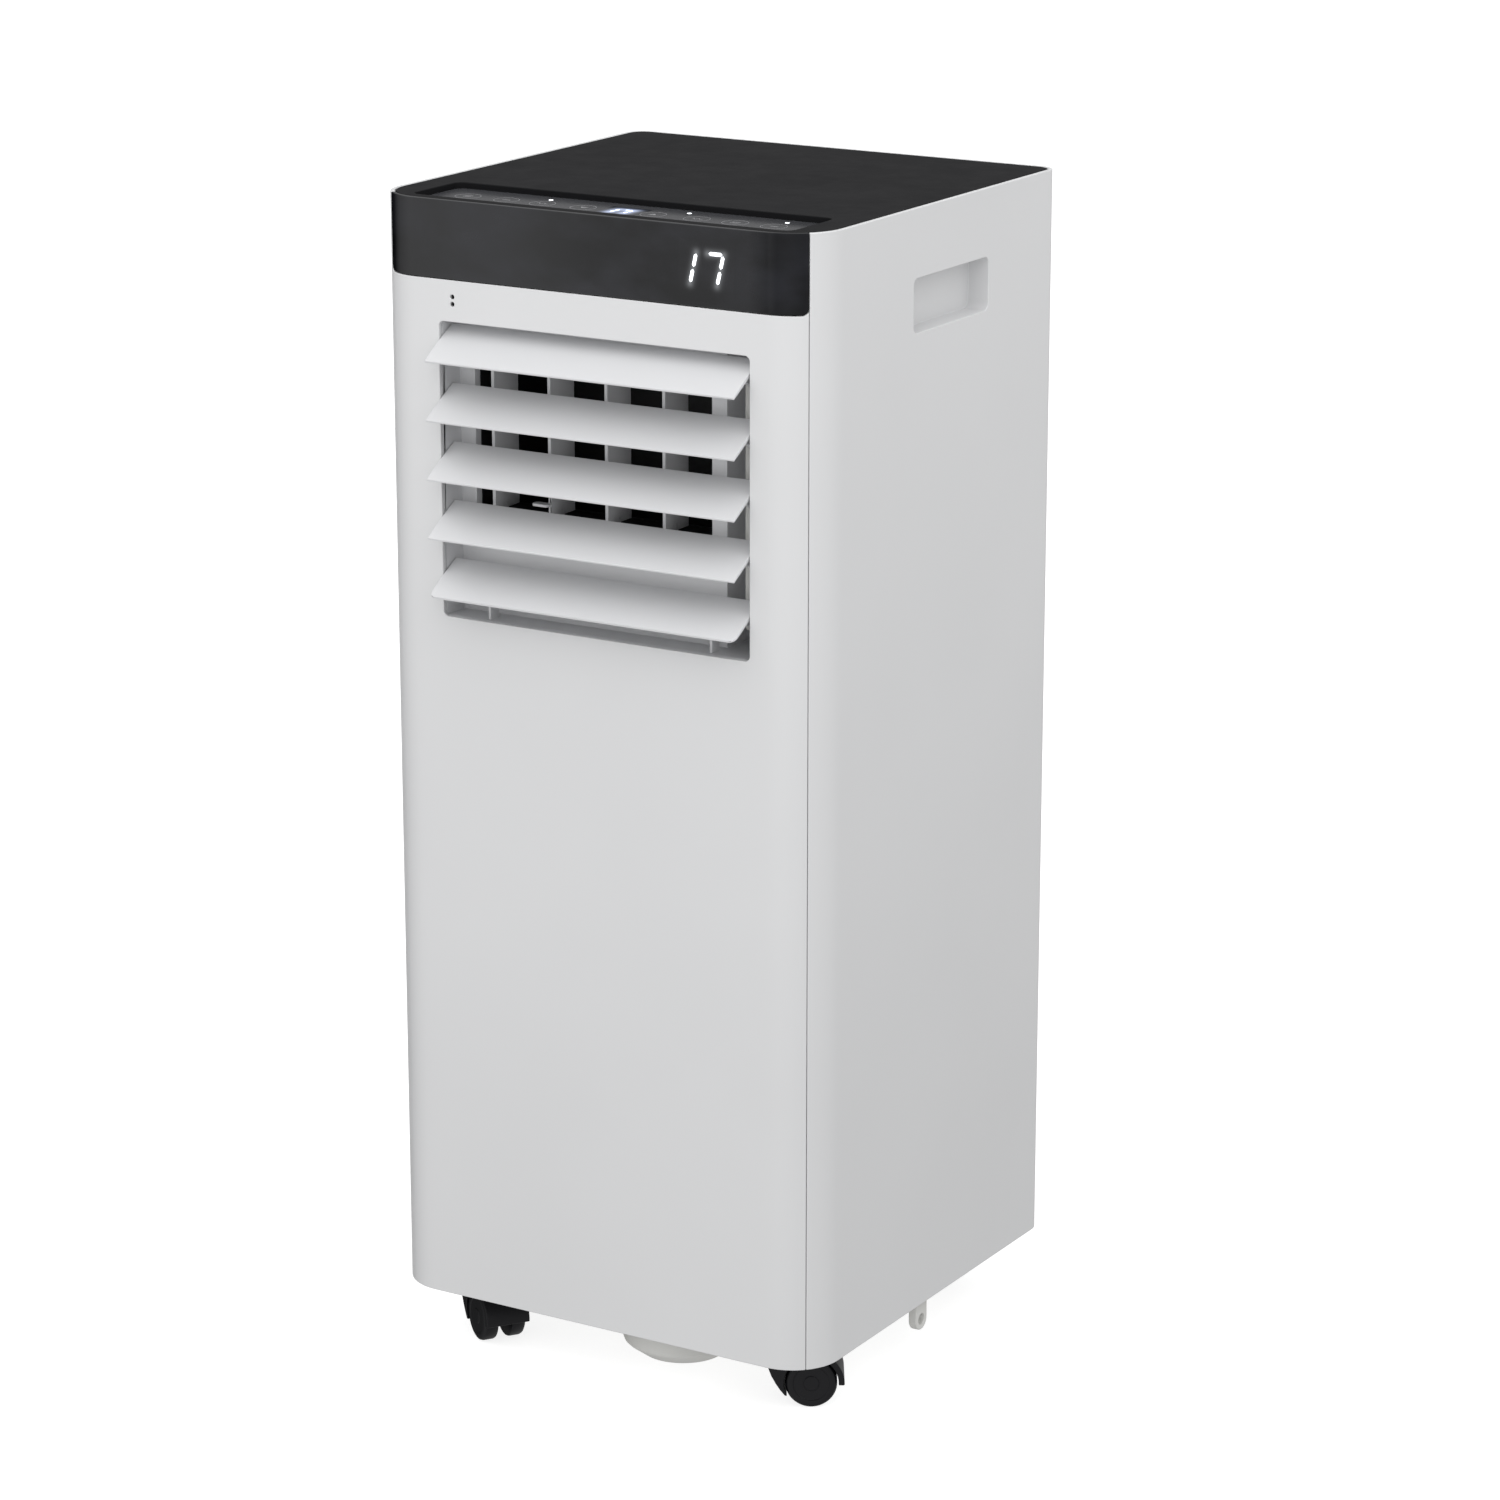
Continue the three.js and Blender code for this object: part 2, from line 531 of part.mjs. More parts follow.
// Motor crank, closed position, about the motor axis.
function makeVaneCrank() {
  const { motor, thickness, pinEnd } = CRANK_X;
  return join(prismX(capsule([0, 0], CRANK_PIN, 2.8), motor, motor + thickness, 4),
    rod('x', CRANK_PIN, STUB_RADIUS, pinEnd, motor + 1, 10),
    rod('x', [0, 0], 2, motor, SWING_SHAFT_END, 12));
}

function makeSwingMotor() {
  const centre = [FRONT + MOTOR_PIVOT.depth, TOP - MOTOR_PIVOT.below];
  const start = OUTLET.right + TUNNEL_WALL + GAP;
  const { radius, length, ear } = MOTOR;
  const can = rod('x', centre, radius, start + 1, start + 1 + length, 24);
  const ears = box(start, start + 1.4, centre[0] - 4, centre[0] + 4, centre[1] - ear, centre[1] + ear);
  return cut(join(can, ears), rod('x', centre, 2.5, start - 1, SWING_SHAFT_END + 1, 12));
}

// Upright fin about its pivot line, with pins above and below and a notch for the link bar.
function makeFin(withTab) {
  const { thickness, front, back, pivot, pin, notchBack } = FIN;
  const x = thickness / 2;
  const low = NOZZLE.bottom + 0.8;
  const high = NOZZLE.top - 0.8;
  const plate = box(-x, x, front - pivot, back - pivot, low, high);
  const notch = box(-3, 3, front - pivot - 1, notchBack - pivot, FIN_BAR_Z - 4, FIN_BAR_Z + 4);
  const fin = join(cut(plate, notch),
    rod('z', [0, pin - pivot], 1, FIN_BAR_Z - 5, FIN_BAR_Z + 5, 8),
    rod('z', [0, 0], PIN_RADIUS, NOZZLE.bottom - PIN_REACH, low + 3, 10),
    rod('z', [0, 0], PIN_RADIUS, high - 3, NOZZLE.top + PIN_REACH, 10));
  if (!withTab) {
    return fin;
  }
  const tabZ = TOP - TAB.below;
  const outline = roundedRect(-TAB.reach, front - pivot - TAB.front, x, front - pivot + TAB.root, TAB.radius);
  return join(fin, prismZ(outline, tabZ, tabZ + TAB.thickness, 2));
}

function makeFinLinkBar() {
  const y = FRONT + FIN.pin;
  const bar = box(FIN_X[0] - 6, FIN_X[3] + 6, y - 2.5, y + 2.5, FIN_BAR_Z - 1.5, FIN_BAR_Z + 1.5);
  return cut(bar, ...FIN_X.map((x) => rod('z', [x, y], 1.4, FIN_BAR_Z - 3, FIN_BAR_Z + 3, 8)));
}

// ---------- blowers ----------
// Forward-curved wheel about the Y axis: plate, rim ring, blades and shaft.
function makeBlowerWheel(radius, width, bladeCount, shaftLength) {
  const parts = [
    rod('y', [0, 0], radius, 0, 2, 24),
    cut(rod('y', [0, 0], radius, width - 2, width, 24),
      rod('y', [0, 0], radius - 9, width - 5, width + 1, 24)),
    rod('y', [0, 0], 10, 0, 16, 12),
    rod('y', [0, 0], 4, -shaftLength, 6, 12),
  ];
  for (let index = 0; index < bladeCount; index += 1) {
    const blade = new THREE.BoxGeometry(9, width - 2, 1.6);
    blade.rotateY(0.6);
    blade.translate(radius - 5.5, width / 2, 0);
    blade.rotateY((index / bladeCount) * Math.PI * 2);
    parts.push(toSolid(blade));
  }
  return join(...parts);
}

function makeUpperScroll() {
  const { x, z, scroll, front, back } = UPPER_FAN;
  const housing = (inset) => {
    const left = NOZZLE.left - TUNNEL_WALL - 2 + inset;
    const right = NOZZLE.right + TUNNEL_WALL + 2 - inset;
    const top = NOZZLE.top + TUNNEL_WALL + 2 - inset;
    const shape = new THREE.Shape();
    shape.moveTo(left, top);
    shape.lineTo(left, z);
    shape.absarc(x, z, scroll - inset, Math.PI, Math.PI * 2);
    shape.lineTo(right, NOZZLE.bottom);
    shape.lineTo(right, top);
    return shape;
  };
  const outlet = box(NOZZLE.left, NOZZLE.right, front - 1, front + 5, NOZZLE.bottom, NOZZLE.top);
  return cut(prismY(housing(0), front, back, 8), prismY(housing(2), front + 2, back - 2, 8), outlet,
    rod('y', [x, z], 9, front - 1, front + 5, 12), rod('y', [x, z], 58, back - 5, back + 1, 24));
}

function makeLowerScroll() {
  const { y, z, scroll, halfWidth } = LOWER_FAN;
  const end = BACK - WALL - GAP;
  const housing = (inset, rear) => {
    const shape = new THREE.Shape();
    shape.moveTo(rear, z + scroll - inset);
    shape.lineTo(y, z + scroll - inset);
    shape.absarc(y, z, scroll - inset, Math.PI / 2, Math.PI * 1.5);
    shape.lineTo(rear, z - scroll + inset);
    return shape;
  };
  return cut(prismX(housing(0, end), -halfWidth, halfWidth, 7),
    prismX(housing(2, end + 1), -halfWidth + 2, halfWidth - 2, 7),
    rod('x', [y, z], 38, -halfWidth - 1, -halfWidth + 3, 24),
    rod('x', [y, z], 9, halfWidth - 3, halfWidth + 1, 16));
}

// ---------- refrigerant circuit ----------
// Finned block with return bends standing out at one end.
function makeCoil({ left, right, front, back, bottom, top, bends }, side) {
  const y = (front + back) / 2;
  const end = side > 0 ? right : left;
  const pitch = (top - bottom) / (bends + 0.5);
  const parts = [box(left, right, front, back, bottom, top)];
  for (let index = 0; index < bends; index += 1) {
    const z = bottom + pitch * (index + 0.5);
    const arc = [[end - side, y, z], [end + side * 4, y, z + 1], [end + side * 6, y, z + pitch * 0.3],
      [end + side * 4, y, z + pitch * 0.6 - 1], [end - side, y, z + pitch * 0.6]];
    parts.push(tube(arc, 2.6, 6, 6));
  }
  return join(...parts);
}

function makeCompressor() {
  const profile = [[0, 30], [40, 30], [52, 42], [52, 180], [40, 202], [14, 208], [14, 212], [0, 212]];
  const can = turned(profile, WELL.x, WELL.y, 28);
  const feet = [0, 1, 2].map((index) => {
    const angle = (index / 3) * Math.PI * 2 + Math.PI / 2;
    const foot = [WELL.x + 40 * Math.cos(angle), WELL.y + 40 * Math.sin(angle)];
    return rod('z', foot, 7, WELL.bottom + 3, 44, 10);
  });
  return join(can, ...feet);
}

// ---------- base and casters ----------
function makeBasePan() {
  const { bottom, floor, rim, inset, wall } = BASE;
  const shell = prismZ(cabinetOutline(inset), bottom, rim);
  const hollow = join(prismZ(cabinetOutline(inset + wall), floor, rim + 1),
    rod('z', [WELL.x, WELL.y], WELL.radius + GAP, bottom - 1, floor + 1, 28));
  const sockets = CASTERS.map(({ x, y }) => rod('z', [x, y], 9, bottom + 1, bottom + 15, 12));
  const bores = CASTERS.map(({ x, y }) => rod('z', [x, y], 4, bottom - 1, bottom + 16, 10));
  const drain = rod('y', [DRAIN.x, DRAIN.z], DRAIN.radius + GAP, BACK - 30, BACK, 14);
  const gland = rod('y', [GLAND.x, GLAND.z], GLAND.radius + GAP, BACK - 30, BACK, 14);
  return cut(join(cut(shell, hollow), ...sockets), ...bores, drain, gland);
}

// Round cup let into the floor of the base, in which the compressor stands, with a small sump under it.
function makeCompressorWell() {
  const { x, y, radius, bottom } = WELL;
  const wall = BASE.wall;
  const cup = turned([[0, bottom], [radius - 5, bottom], [radius, bottom + 4], [radius, BASE.floor],
    [0, BASE.floor]], x, y, 28);
  const cupHollow = turned([[0, bottom + wall], [radius - wall - 2, bottom + wall],
    [radius - wall, bottom + wall + 2], [radius - wall, BASE.floor + 1], [0, BASE.floor + 1]], x, y, 28);
  const bowl = (inset, top) => turned([[0, SUMP.bottom + inset], [SUMP.foot - inset - 3, SUMP.bottom + inset],
    [SUMP.foot - inset, SUMP.bottom + inset + 1.5], [SUMP.radius - inset, SUMP.shoulder],
    [SUMP.radius - inset, top], [0, top]], SUMP.x, SUMP.y, 32);
  const drop = rod('z', [SUMP.x, SUMP.y], SUMP.mouth, SUMP.shoulder, SUMP.top + 1, 24);
  return cut(join(cup, bowl(0, SUMP.top)), cupHollow, bowl(wall, bottom - 1), drop);
}

// Eye for tying the hose or cable, hung from the right edge of the base.
function makeTieLug() {
  const { y, radius, hole, bottom, outer, thickness } = TIE_LUG;
  const top = BASE.bottom - GAP;
  const outline = new THREE.Shape();
  outline.moveTo(y - radius - 4, top);
  outline.lineTo(y - radius - 3, FLOOR_GAP - 1);
  outline.lineTo(y - radius, FLOOR_GAP - 4);
  outline.absarc(y, bottom + radius, radius, Math.PI, Math.PI * 2);
  outline.lineTo(y + radius, FLOOR_GAP - 4);
  outline.lineTo(y + radius + 3, FLOOR_GAP - 1);
  outline.lineTo(y + radius + 4, top);
  const plate = prismX(outline, outer - thickness, outer, 10);
  return cut(plate, rod('x', [y, bottom + radius], hole, outer - thickness - 1, outer + 1, 24));
}

// Hood with its swivel stem, about the swivel line; the axle runs along X, the wheels trail towards -Y.
// A narrow strip of the hood comes down outside the wheels, and a broad horn on the swivel side.
function makeCasterHood() {
  const { trail, radius, web } = CASTER;
  const { inner, outer, halfWidth } = HOOD;
  const axle = [-trail, radius];
  const hollow = rod('x', axle, inner, -halfWidth - 2, halfWidth + 2, 48);
  const fender = cut(rod('x', axle, outer, -halfWidth, halfWidth, 48),
    box(-20, 20, -60, -trail, -20, radius - 1), box(-20, 20, -trail, 60, -20, radius));
  const hornShape = polygon([[-trail, radius], [-1.5, radius - 7.4], [0.9, radius - 7.4], [3.6, radius - 4],
    [6.2, radius], [8.6, radius + 4.5], [10.6, radius + 10], [11.5, radius + 16], [11, radius + 18],
    [-trail, radius + 18]]);
  const horn = prismX(hornShape, -halfWidth, halfWidth);
  const bearer = join(box(-web, web, -trail - 8, 6, radius + 5, radius + 17),
    rod('x', axle, 6, -web, web, 20),
    box(-web, web, -trail - 5.5, -trail + 5.5, radius, radius + 8));
  const middle = cut(bearer, rod('x', axle, 2.5, -6, 6, 10));
  const discBottom = radius + 14.5;
  return join(cut(join(fender, horn), hollow), middle, rod('z', [0, 0], 12, discBottom, FLOOR_GAP - 0.6, 24),
    rod('z', [0, 0], 3.4, discBottom, FLOOR_GAP + 14, 12));
}

// Two discs on one axle, about the axle, which runs along X; each rim stands on a flat facet.
function makeCasterWheel() {
  const { halfWidth, web } = CASTER;
  const facets = 20;
  const radius = CASTER.radius / Math.cos(Math.PI / facets);
  const inner = web + 0.5;
  const outerHalf = [[2, inner], [radius - 1, inner], [radius, inner + 1], [radius, halfWidth - 2],
    [radius - 2.5, halfWidth], [0, halfWidth]];
  const innerHalf = outerHalf.map(([r, along]) => [r, -along]).reverse();
  const points = innerHalf.concat(outerHalf).map(([r, along]) => new THREE.Vector2(r, along));
  const geometry = new THREE.LatheGeometry(points, facets, Math.PI / facets);
  geometry.rotateZ(Math.PI / 2);
  return toSolid(geometry);
}

// ---------- smaller inner pieces ----------
function makeDripTray() {
  const { halfWidth, front, back, bottom, top, wall, drain } = TRAY;
  const tray = prismZ(roundedRect(-halfWidth, front, halfWidth, back, 6), bottom, top, 2);
  const pocket = roundedRect(-halfWidth + wall, front + wall, halfWidth - wall, back - wall, 4);
  return cut(tray, prismZ(pocket, bottom + wall, top + 5, 2), rod('z', drain, 5, bottom - 8, bottom + 7, 12));
}

// Open-sided electrical box; its boards are reached from the right.
function makeControlBox() {
  const { left, right, front, back, bottom, top, wall } = CONTROL;
  const cableHole = rod('z', [left + 14, 40], 6, bottom - 5, bottom + 5, 12);
  return cut(box(left, right, front, back, bottom, top),
    box(left + wall, right + 1, front + wall, back - wall, bottom + wall, top - wall), cableHole);
}

function makeMainBoard() {
  const { left, front, back, bottom, top, wall } = CONTROL;
  const face = left + wall + 2;
  const board = box(face, face + 1.6, front + 6, back - 6, bottom + 7, top - 8);
  const relays = [[18, 55], [38, 55], [58, 75]].map(([behind, above]) =>
    box(face + 1, face + 12, front + behind, front + behind + 14, bottom + above, bottom + above + 16));
  const transformer = box(face + 1, face + 16, front + 58, front + 88, top - 50, top - 20);
  return join(board, ...relays, transformer);
}

function makeRunCapacitor() {
  const { left, back, bottom } = CONTROL;
  return rod('z', [left + 14, back - 18], 8, bottom + 11, bottom + 65, 18);
}

function makeAccumulator() {
  const profile = [[0, 92], [14, 94], [22, 102], [22, 204], [14, 212], [5, 214], [5, 222], [0, 222]];
  return turned(profile, ACCUMULATOR_X, WELL.y, 20);
}

function makeSplashMotor() {
  const { x, y, z, motorRadius } = SPLASHER;
  const centre = [x, z];
  return cut(rod('y', centre, motorRadius, y - 31, y - 7, 24), rod('y', centre, 2.6, y - 19, y - 6, 10));
}

// Small paddle wheel that throws collected water on the condenser.
function makeSplashWheel() {
  const { x, y, z, radius } = SPLASHER;
  const paddles = [0, 1, 2, 3, 4, 5].map((index) => {
    const paddle = new THREE.BoxGeometry(10, 6, 1.4);
    paddle.translate(radius, 0, 0);
    paddle.rotateY((index / 6) * Math.PI * 2);
    paddle.translate(x, y + 2, z);
    return toSolid(paddle);
  });
  return join(rod('y', [x, z], radius, y - 1, y + 1, 24), rod('y', [x, z], 2, y - 17, y, 10), ...paddles);
}

function makeDisplayBoard() {
  const board = box(20, 92, FRONT + 6, FRONT + 7.6, BAND_BOTTOM + 5, TOP - 10);
  const digits = box(40, 88, FRONT + WALL + GAP, FRONT + 6.5, BAND_BOTTOM + 7, TOP - 13);
  return join(board, digits);
}

function makeDrainPlug() {
  const y = BACK;
  return join(rod('y', [DRAIN.x, DRAIN.z], DRAIN.radius, y - 12, y + 2, 16),
    rod('y', [DRAIN.x, DRAIN.z], DRAIN.radius + 2.5, y - 3.5, y + 1, 20),
    box(DRAIN.x - 1.5, DRAIN.x + 1.5, y, y + 9, DRAIN.z - 5, DRAIN.z + 5));
}

function makeCordGland() {
  const centre = [GLAND.x, GLAND.z];
  const body = join(rod('y', centre, GLAND.radius, BACK - 12, BACK + 1, 18),
    rod('y', centre, GLAND.radius + 3, BACK + GAP, BACK + 4, 18),
    rod('y', centre, GLAND.radius - 0.5, BACK + 3, BACK + 10, 18));
  return cut(body, rod('y', centre, GLAND.bore, BACK - 20, BACK + 20, 14));
}

// ---------- placing ----------
// Group whose mesh is modelled about its own pivot line.
function pivotGroup(x, y, z) {
  const group = new THREE.Group();
  group.position.set(x, y, z);
  assembly.add(group);
  return group;
}

add('base_pan', makeBasePan(), GREY);
add('compressor_well', makeCompressorWell(), GREY);
add('front_panel', makeFrontPanel(), WHITE);
add('display_band', makeDisplayBand(), BLACK_GLOSS);
add('side_panel_left', makeSidePanel(-1), WHITE);
add('side_panel_right', makeSidePanel(1), WHITE);
add('rear_panel', makeRearPanel(), WHITE);
add('top_cover', makeTopCover(), BLACK_MATTE);
add('touch_panel', makeTouchPanel(), FILM);
add('rear_grille', makeGrille(INTAKE.halfWidth - 0.6, INTAKE.bottom + 0.8, INTAKE.top - 0.6, 14, [0]), WHITE);
add('air_filter', makeAirFilter(), DARK_GREY);
add('lower_grille', makeGrille(LOWER_INTAKE.halfWidth - GAP, LOWER_INTAKE.bottom + GAP,
  LOWER_INTAKE.top - GAP, 14, [0]), WHITE);

add('outlet_frame', makeOutletFrame(), VANE_WHITE);
add('nozzle_duct', makeNozzleDuct(), BLACK_MATTE);
for (let index = 0; index < VANE_COUNT; index += 1) {
  const { y, z } = pivotOf(index);
  const blade = makeVane(index === VANE_COUNT - 1);
  const vane = add(`louver_vane_${index + 1}`, blade, VANE_WHITE, pivotGroup(0, y, z));
  vane.rotation.x = -VANE_OPEN;
}
add('louver_link_bar', makeVaneLinkBar(), GREY);
const crankGroup = pivotGroup(0, FRONT + MOTOR_PIVOT.depth, TOP - MOTOR_PIVOT.below);
add('louver_crank', makeVaneCrank(), GREY, crankGroup).rotation.x = -VANE_OPEN;
add('swing_motor', makeSwingMotor(), STEEL);
FIN_X.forEach((x, index) => {
  add(`air_fin_${index + 1}`, makeFin(index === TABBED_FIN), VANE_WHITE, pivotGroup(x, FRONT + FIN.pivot, 0));
});
add('fin_link_bar', makeFinLinkBar(), GREY);

// The vanes are what stands furthest out in front, and the exhaust collar reaches as far out behind.
assembly.updateMatrixWorld(true);
const vaneReach = FRONT - new THREE.Box3().setFromObject(assembly, true).min.y;
add('exhaust_collar', makeExhaustCollar(vaneReach), DARK_GREY);

add('upper_scroll', makeUpperScroll(), BLACK_MATTE);
const upperFront = UPPER_FAN.front;
add('upper_blower_wheel', makeBlowerWheel(UPPER_FAN.radius, 52, 14, 24), DARK_GREY,
  pivotGroup(UPPER_FAN.x, upperFront + 8, UPPER_FAN.z));
add('upper_blower_motor', cut(rod('y', [UPPER_FAN.x, UPPER_FAN.z], 33, FRONT + 8, upperFront - GAP, 28),
  rod('y', [UPPER_FAN.x, UPPER_FAN.z], 4.5, upperFront - 22, upperFront + 1, 12)), STEEL);

add('lower_scroll', makeLowerScroll(), GREY);
const lowerWheel = add('lower_blower_wheel', makeBlowerWheel(LOWER_FAN.radius, 80, 12, 44), DARK_GREY,
  pivotGroup(36, LOWER_FAN.y, LOWER_FAN.z));
lowerWheel.rotation.z = Math.PI / 2;
add('lower_blower_motor', cut(rod('x', [LOWER_FAN.y, LOWER_FAN.z], 29, LOWER_FAN.halfWidth + GAP, 102, 28),
  rod('x', [LOWER_FAN.y, LOWER_FAN.z], 4.5, LOWER_FAN.halfWidth - 1, 84, 12)), STEEL);

add('evaporator_coil', makeCoil(EVAPORATOR, 1), ALUMINIUM);
add('condenser_coil', makeCoil(CONDENSER, -1), ALUMINIUM);
add('drip_tray', makeDripTray(), GREY);
add('compressor', makeCompressor(), PAINTED_BLACK);
add('accumulator', makeAccumulator(), PAINTED_BLACK);
add('discharge_pipe', tube([[WELL.x - 22, WELL.y, 208], [WELL.x - 22, WELL.y, 232], [-40, -50, 246],
  [-90, -20, 232], [-98, 30, 180], [-98, 70, 142], [-98, 86.8, 140]], 4, 22, 6), COPPER);
add('suction_pipe', tube([[ACCUMULATOR_X, WELL.y, 222.8], [ACCUMULATOR_X, WELL.y, 234], [112, -40, 280],
  [120, -14, 335], [119, 20, 353], [114, 50, 352], [104, 63, 352], [92.6, 63, 352]], 5, 24, 6), COPPER);
add('capillary_tube', tube([[106.6, 100, 110], [118, 100, 112], [134, 98, 150], [134.5, 96, 250],
  [134.5, 94, 350], [128, 78, 388], [110, 62, 396], [100, 58, 396], [92.6, 58, 396]], 2, 28, 6), COPPER);

add('control_box', makeControlBox(), BLACK_MATTE);
add('main_board', makeMainBoard(), CIRCUIT_GREEN);
add('run_capacitor', makeRunCapacitor(), ALUMINIUM);
add('display_board', makeDisplayBoard(), CIRCUIT_GREEN);

add('splash_motor', makeSplashMotor(), STEEL);
add('splash_wheel', makeSplashWheel(), GREY);
add('drain_plug', makeDrainPlug(), RUBBER);
add('cord_gland', makeCordGland(), RUBBER);
add('tie_lug', makeTieLug(), GREY);

for (const { tag, x, y, turn } of CASTERS) {
  const swivel = pivotGroup(x, y, 0);
  swivel.rotation.z = THREE.MathUtils.degToRad(turn);
  add(`caster_hood_${tag}`, makeCasterHood(), WHEEL_BLACK, swivel);
  const wheel = add(`caster_wheel_${tag}`, makeCasterWheel(), WHEEL_BLACK, swivel);
  wheel.position.set(0, -CASTER.trail, CASTER.radius);
}

export default assembly;
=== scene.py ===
"""Portable air conditioner: its looks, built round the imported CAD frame. Metres, +Z up, front towards -Y."""

import json
import math

import bmesh
import bpy
from mathutils import Matrix, Vector


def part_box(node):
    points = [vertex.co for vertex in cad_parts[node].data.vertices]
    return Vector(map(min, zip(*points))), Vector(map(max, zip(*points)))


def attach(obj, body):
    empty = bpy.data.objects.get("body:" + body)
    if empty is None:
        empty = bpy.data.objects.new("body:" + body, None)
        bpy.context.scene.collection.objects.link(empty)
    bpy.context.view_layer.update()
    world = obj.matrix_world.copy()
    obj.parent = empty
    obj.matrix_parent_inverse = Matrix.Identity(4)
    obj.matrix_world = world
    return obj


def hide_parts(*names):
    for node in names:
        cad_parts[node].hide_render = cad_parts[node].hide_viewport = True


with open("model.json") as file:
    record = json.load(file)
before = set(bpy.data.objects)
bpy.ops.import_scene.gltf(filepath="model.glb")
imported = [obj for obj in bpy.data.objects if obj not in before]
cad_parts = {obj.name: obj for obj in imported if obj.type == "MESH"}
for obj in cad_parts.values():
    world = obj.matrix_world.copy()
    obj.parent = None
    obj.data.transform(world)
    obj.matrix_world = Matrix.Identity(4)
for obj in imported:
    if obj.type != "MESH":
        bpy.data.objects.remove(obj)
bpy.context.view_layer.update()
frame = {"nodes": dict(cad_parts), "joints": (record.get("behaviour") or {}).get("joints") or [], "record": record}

# ---------- what the frame says ----------
MM = 0.001
RECORD = frame["record"]
SLOT_OF = {part["node"]: part["material_slot"] for part in RECORD["subparts"]}
BODY_OF = {node: body for body, nodes in RECORD["behaviour"]["bodies"].items() for node in nodes}
JOINTS = {joint["name"]: joint for joint in frame["joints"]}

panel_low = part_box("front_panel")[0]
FRONT = panel_low.y
LEFT = panel_low.x
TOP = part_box("display_band")[1].z
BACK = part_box("rear_panel")[1].y

# ---------- the view of the product shot ----------
CAMERA_AZIMUTH = math.radians(31.0)
CAMERA_DOWN = math.radians(15.76)
CAMERA_LENS = 114.6
CAMERA_SENSOR = 36.0
CAMERA_DISTANCE = 2.754
AIM_ASIDE = 0.0168        # the aim passes this far right of the cabinet's middle
AIM_HEIGHT = 0.3453


# ---------- procedural finishes ----------
PAINTED_SHADE_FOOT = 0.05           # heights between which the painted shade runs, darker near the floor and lighter near the deck, in metres
PAINTED_SHADE_TOP = 0.65
CORNER_START = 0.101       # how far right of the middle the band's painted dimming of its reflection starts
CORNER_END = 0.118
BAND_BLACK = 0.011         # brightness of the band's base colour
FILM_BLACK = 0.030


class Finish:
    """One material: a Principled shader with short calls for the nodes that feed it."""

    def __init__(self, name, roughness, metallic=0.0, specular=0.5):
        self.material = bpy.data.materials.new(name)
        self.material.use_nodes = True
        self.tree = self.material.node_tree
        self.shader = self.tree.nodes["Principled BSDF"]
        self.shader.inputs["Metallic"].default_value = metallic
        self.shader.inputs["Roughness"].default_value = roughness
        self.shader.inputs["Specular IOR Level"].default_value = specular
        self.place = self.tree.nodes.new("ShaderNodeTexCoord").outputs["Object"]
        self.last_bump = None

    def link(self, output, target):
        self.tree.links.new(output, target)

    def stretched(self, scale):
        """Object coordinates with each axis scaled on its own, in repeats to the metre."""
        node = self.tree.nodes.new("ShaderNodeMapping")
        node.inputs["Scale"].default_value = scale
        self.link(self.place, node.inputs["Vector"])
        return node.outputs[0]

    def noise(self, scale, detail=2.0, place=None):
        node = self.tree.nodes.new("ShaderNodeTexNoise")
        node.inputs["Scale"].default_value = scale
        node.inputs["Detail"].default_value = detail
        self.link(place or self.place, node.inputs["Vector"])
        return node.outputs[0]

    def cells(self, scale):
        node = self.tree.nodes.new("ShaderNodeTexVoronoi")
        node.inputs["Scale"].default_value = scale
        self.link(self.place, node.inputs["Vector"])
        return node.outputs["Distance"]

    def between(self, value, low, high, start=0.3, end=0.7):
        """Value spread from start..end onto low..high."""
        node = self.tree.nodes.new("ShaderNodeMapRange")
        for name, number in (("From Min", start), ("From Max", end), ("To Min", low), ("To Max", high)):
            node.inputs[name].default_value = number
        self.link(value, node.inputs["Value"])
        return node.outputs[0]

    def color(self, value, dark, light, start=0.3, end=0.7):
        ramp = self.tree.nodes.new("ShaderNodeValToRGB")
        ramp.color_ramp.elements[0].position = start
        ramp.color_ramp.elements[1].position = end
        ramp.color_ramp.elements[0].color = (*dark, 1)
        ramp.color_ramp.elements[1].color = (*light, 1)
        self.link(value, ramp.inputs["Fac"])
        self.link(ramp.outputs["Color"], self.shader.inputs["Base Color"])
        return self

    def fade(self, foot, top):
        """Painted shade and light: scales the base colour with height, by foot near the floor and by top near the
        deck, so the part looks darker low down and brighter up high.
        """
        height = self.tree.nodes.new("ShaderNodeSeparateXYZ")
        self.link(self.place, height.inputs[0])
        scaled = self.tree.nodes.new("ShaderNodeVectorMath")
        scaled.operation = "SCALE"
        base = self.shader.inputs["Base Color"]
        self.link(base.links[0].from_socket, scaled.inputs[0])
        self.link(self.between(height.outputs["Z"], foot, top, PAINTED_SHADE_FOOT, PAINTED_SHADE_TOP), scaled.inputs["Scale"])
        self.link(scaled.outputs[0], base)
        return self

    def gloss(self, value, low, high):
        self.link(self.between(value, low, high), self.shader.inputs["Roughness"])
        return self

    def relief(self, value, depth, strength=1.0):
        """Adds a bump of that depth in metres on top of the ones before it."""
        node = self.tree.nodes.new("ShaderNodeBump")
        node.inputs["Strength"].default_value = strength
        node.inputs["Distance"].default_value = depth
        self.link(value, node.inputs["Height"])
        if self.last_bump:
            self.link(self.last_bump, node.inputs["Normal"])
        self.last_bump = node.outputs["Normal"]
        self.link(self.last_bump, self.shader.inputs["Normal"])
        return self


def shade(color, factor):
    return tuple(min(1.0, channel * factor) for channel in color)


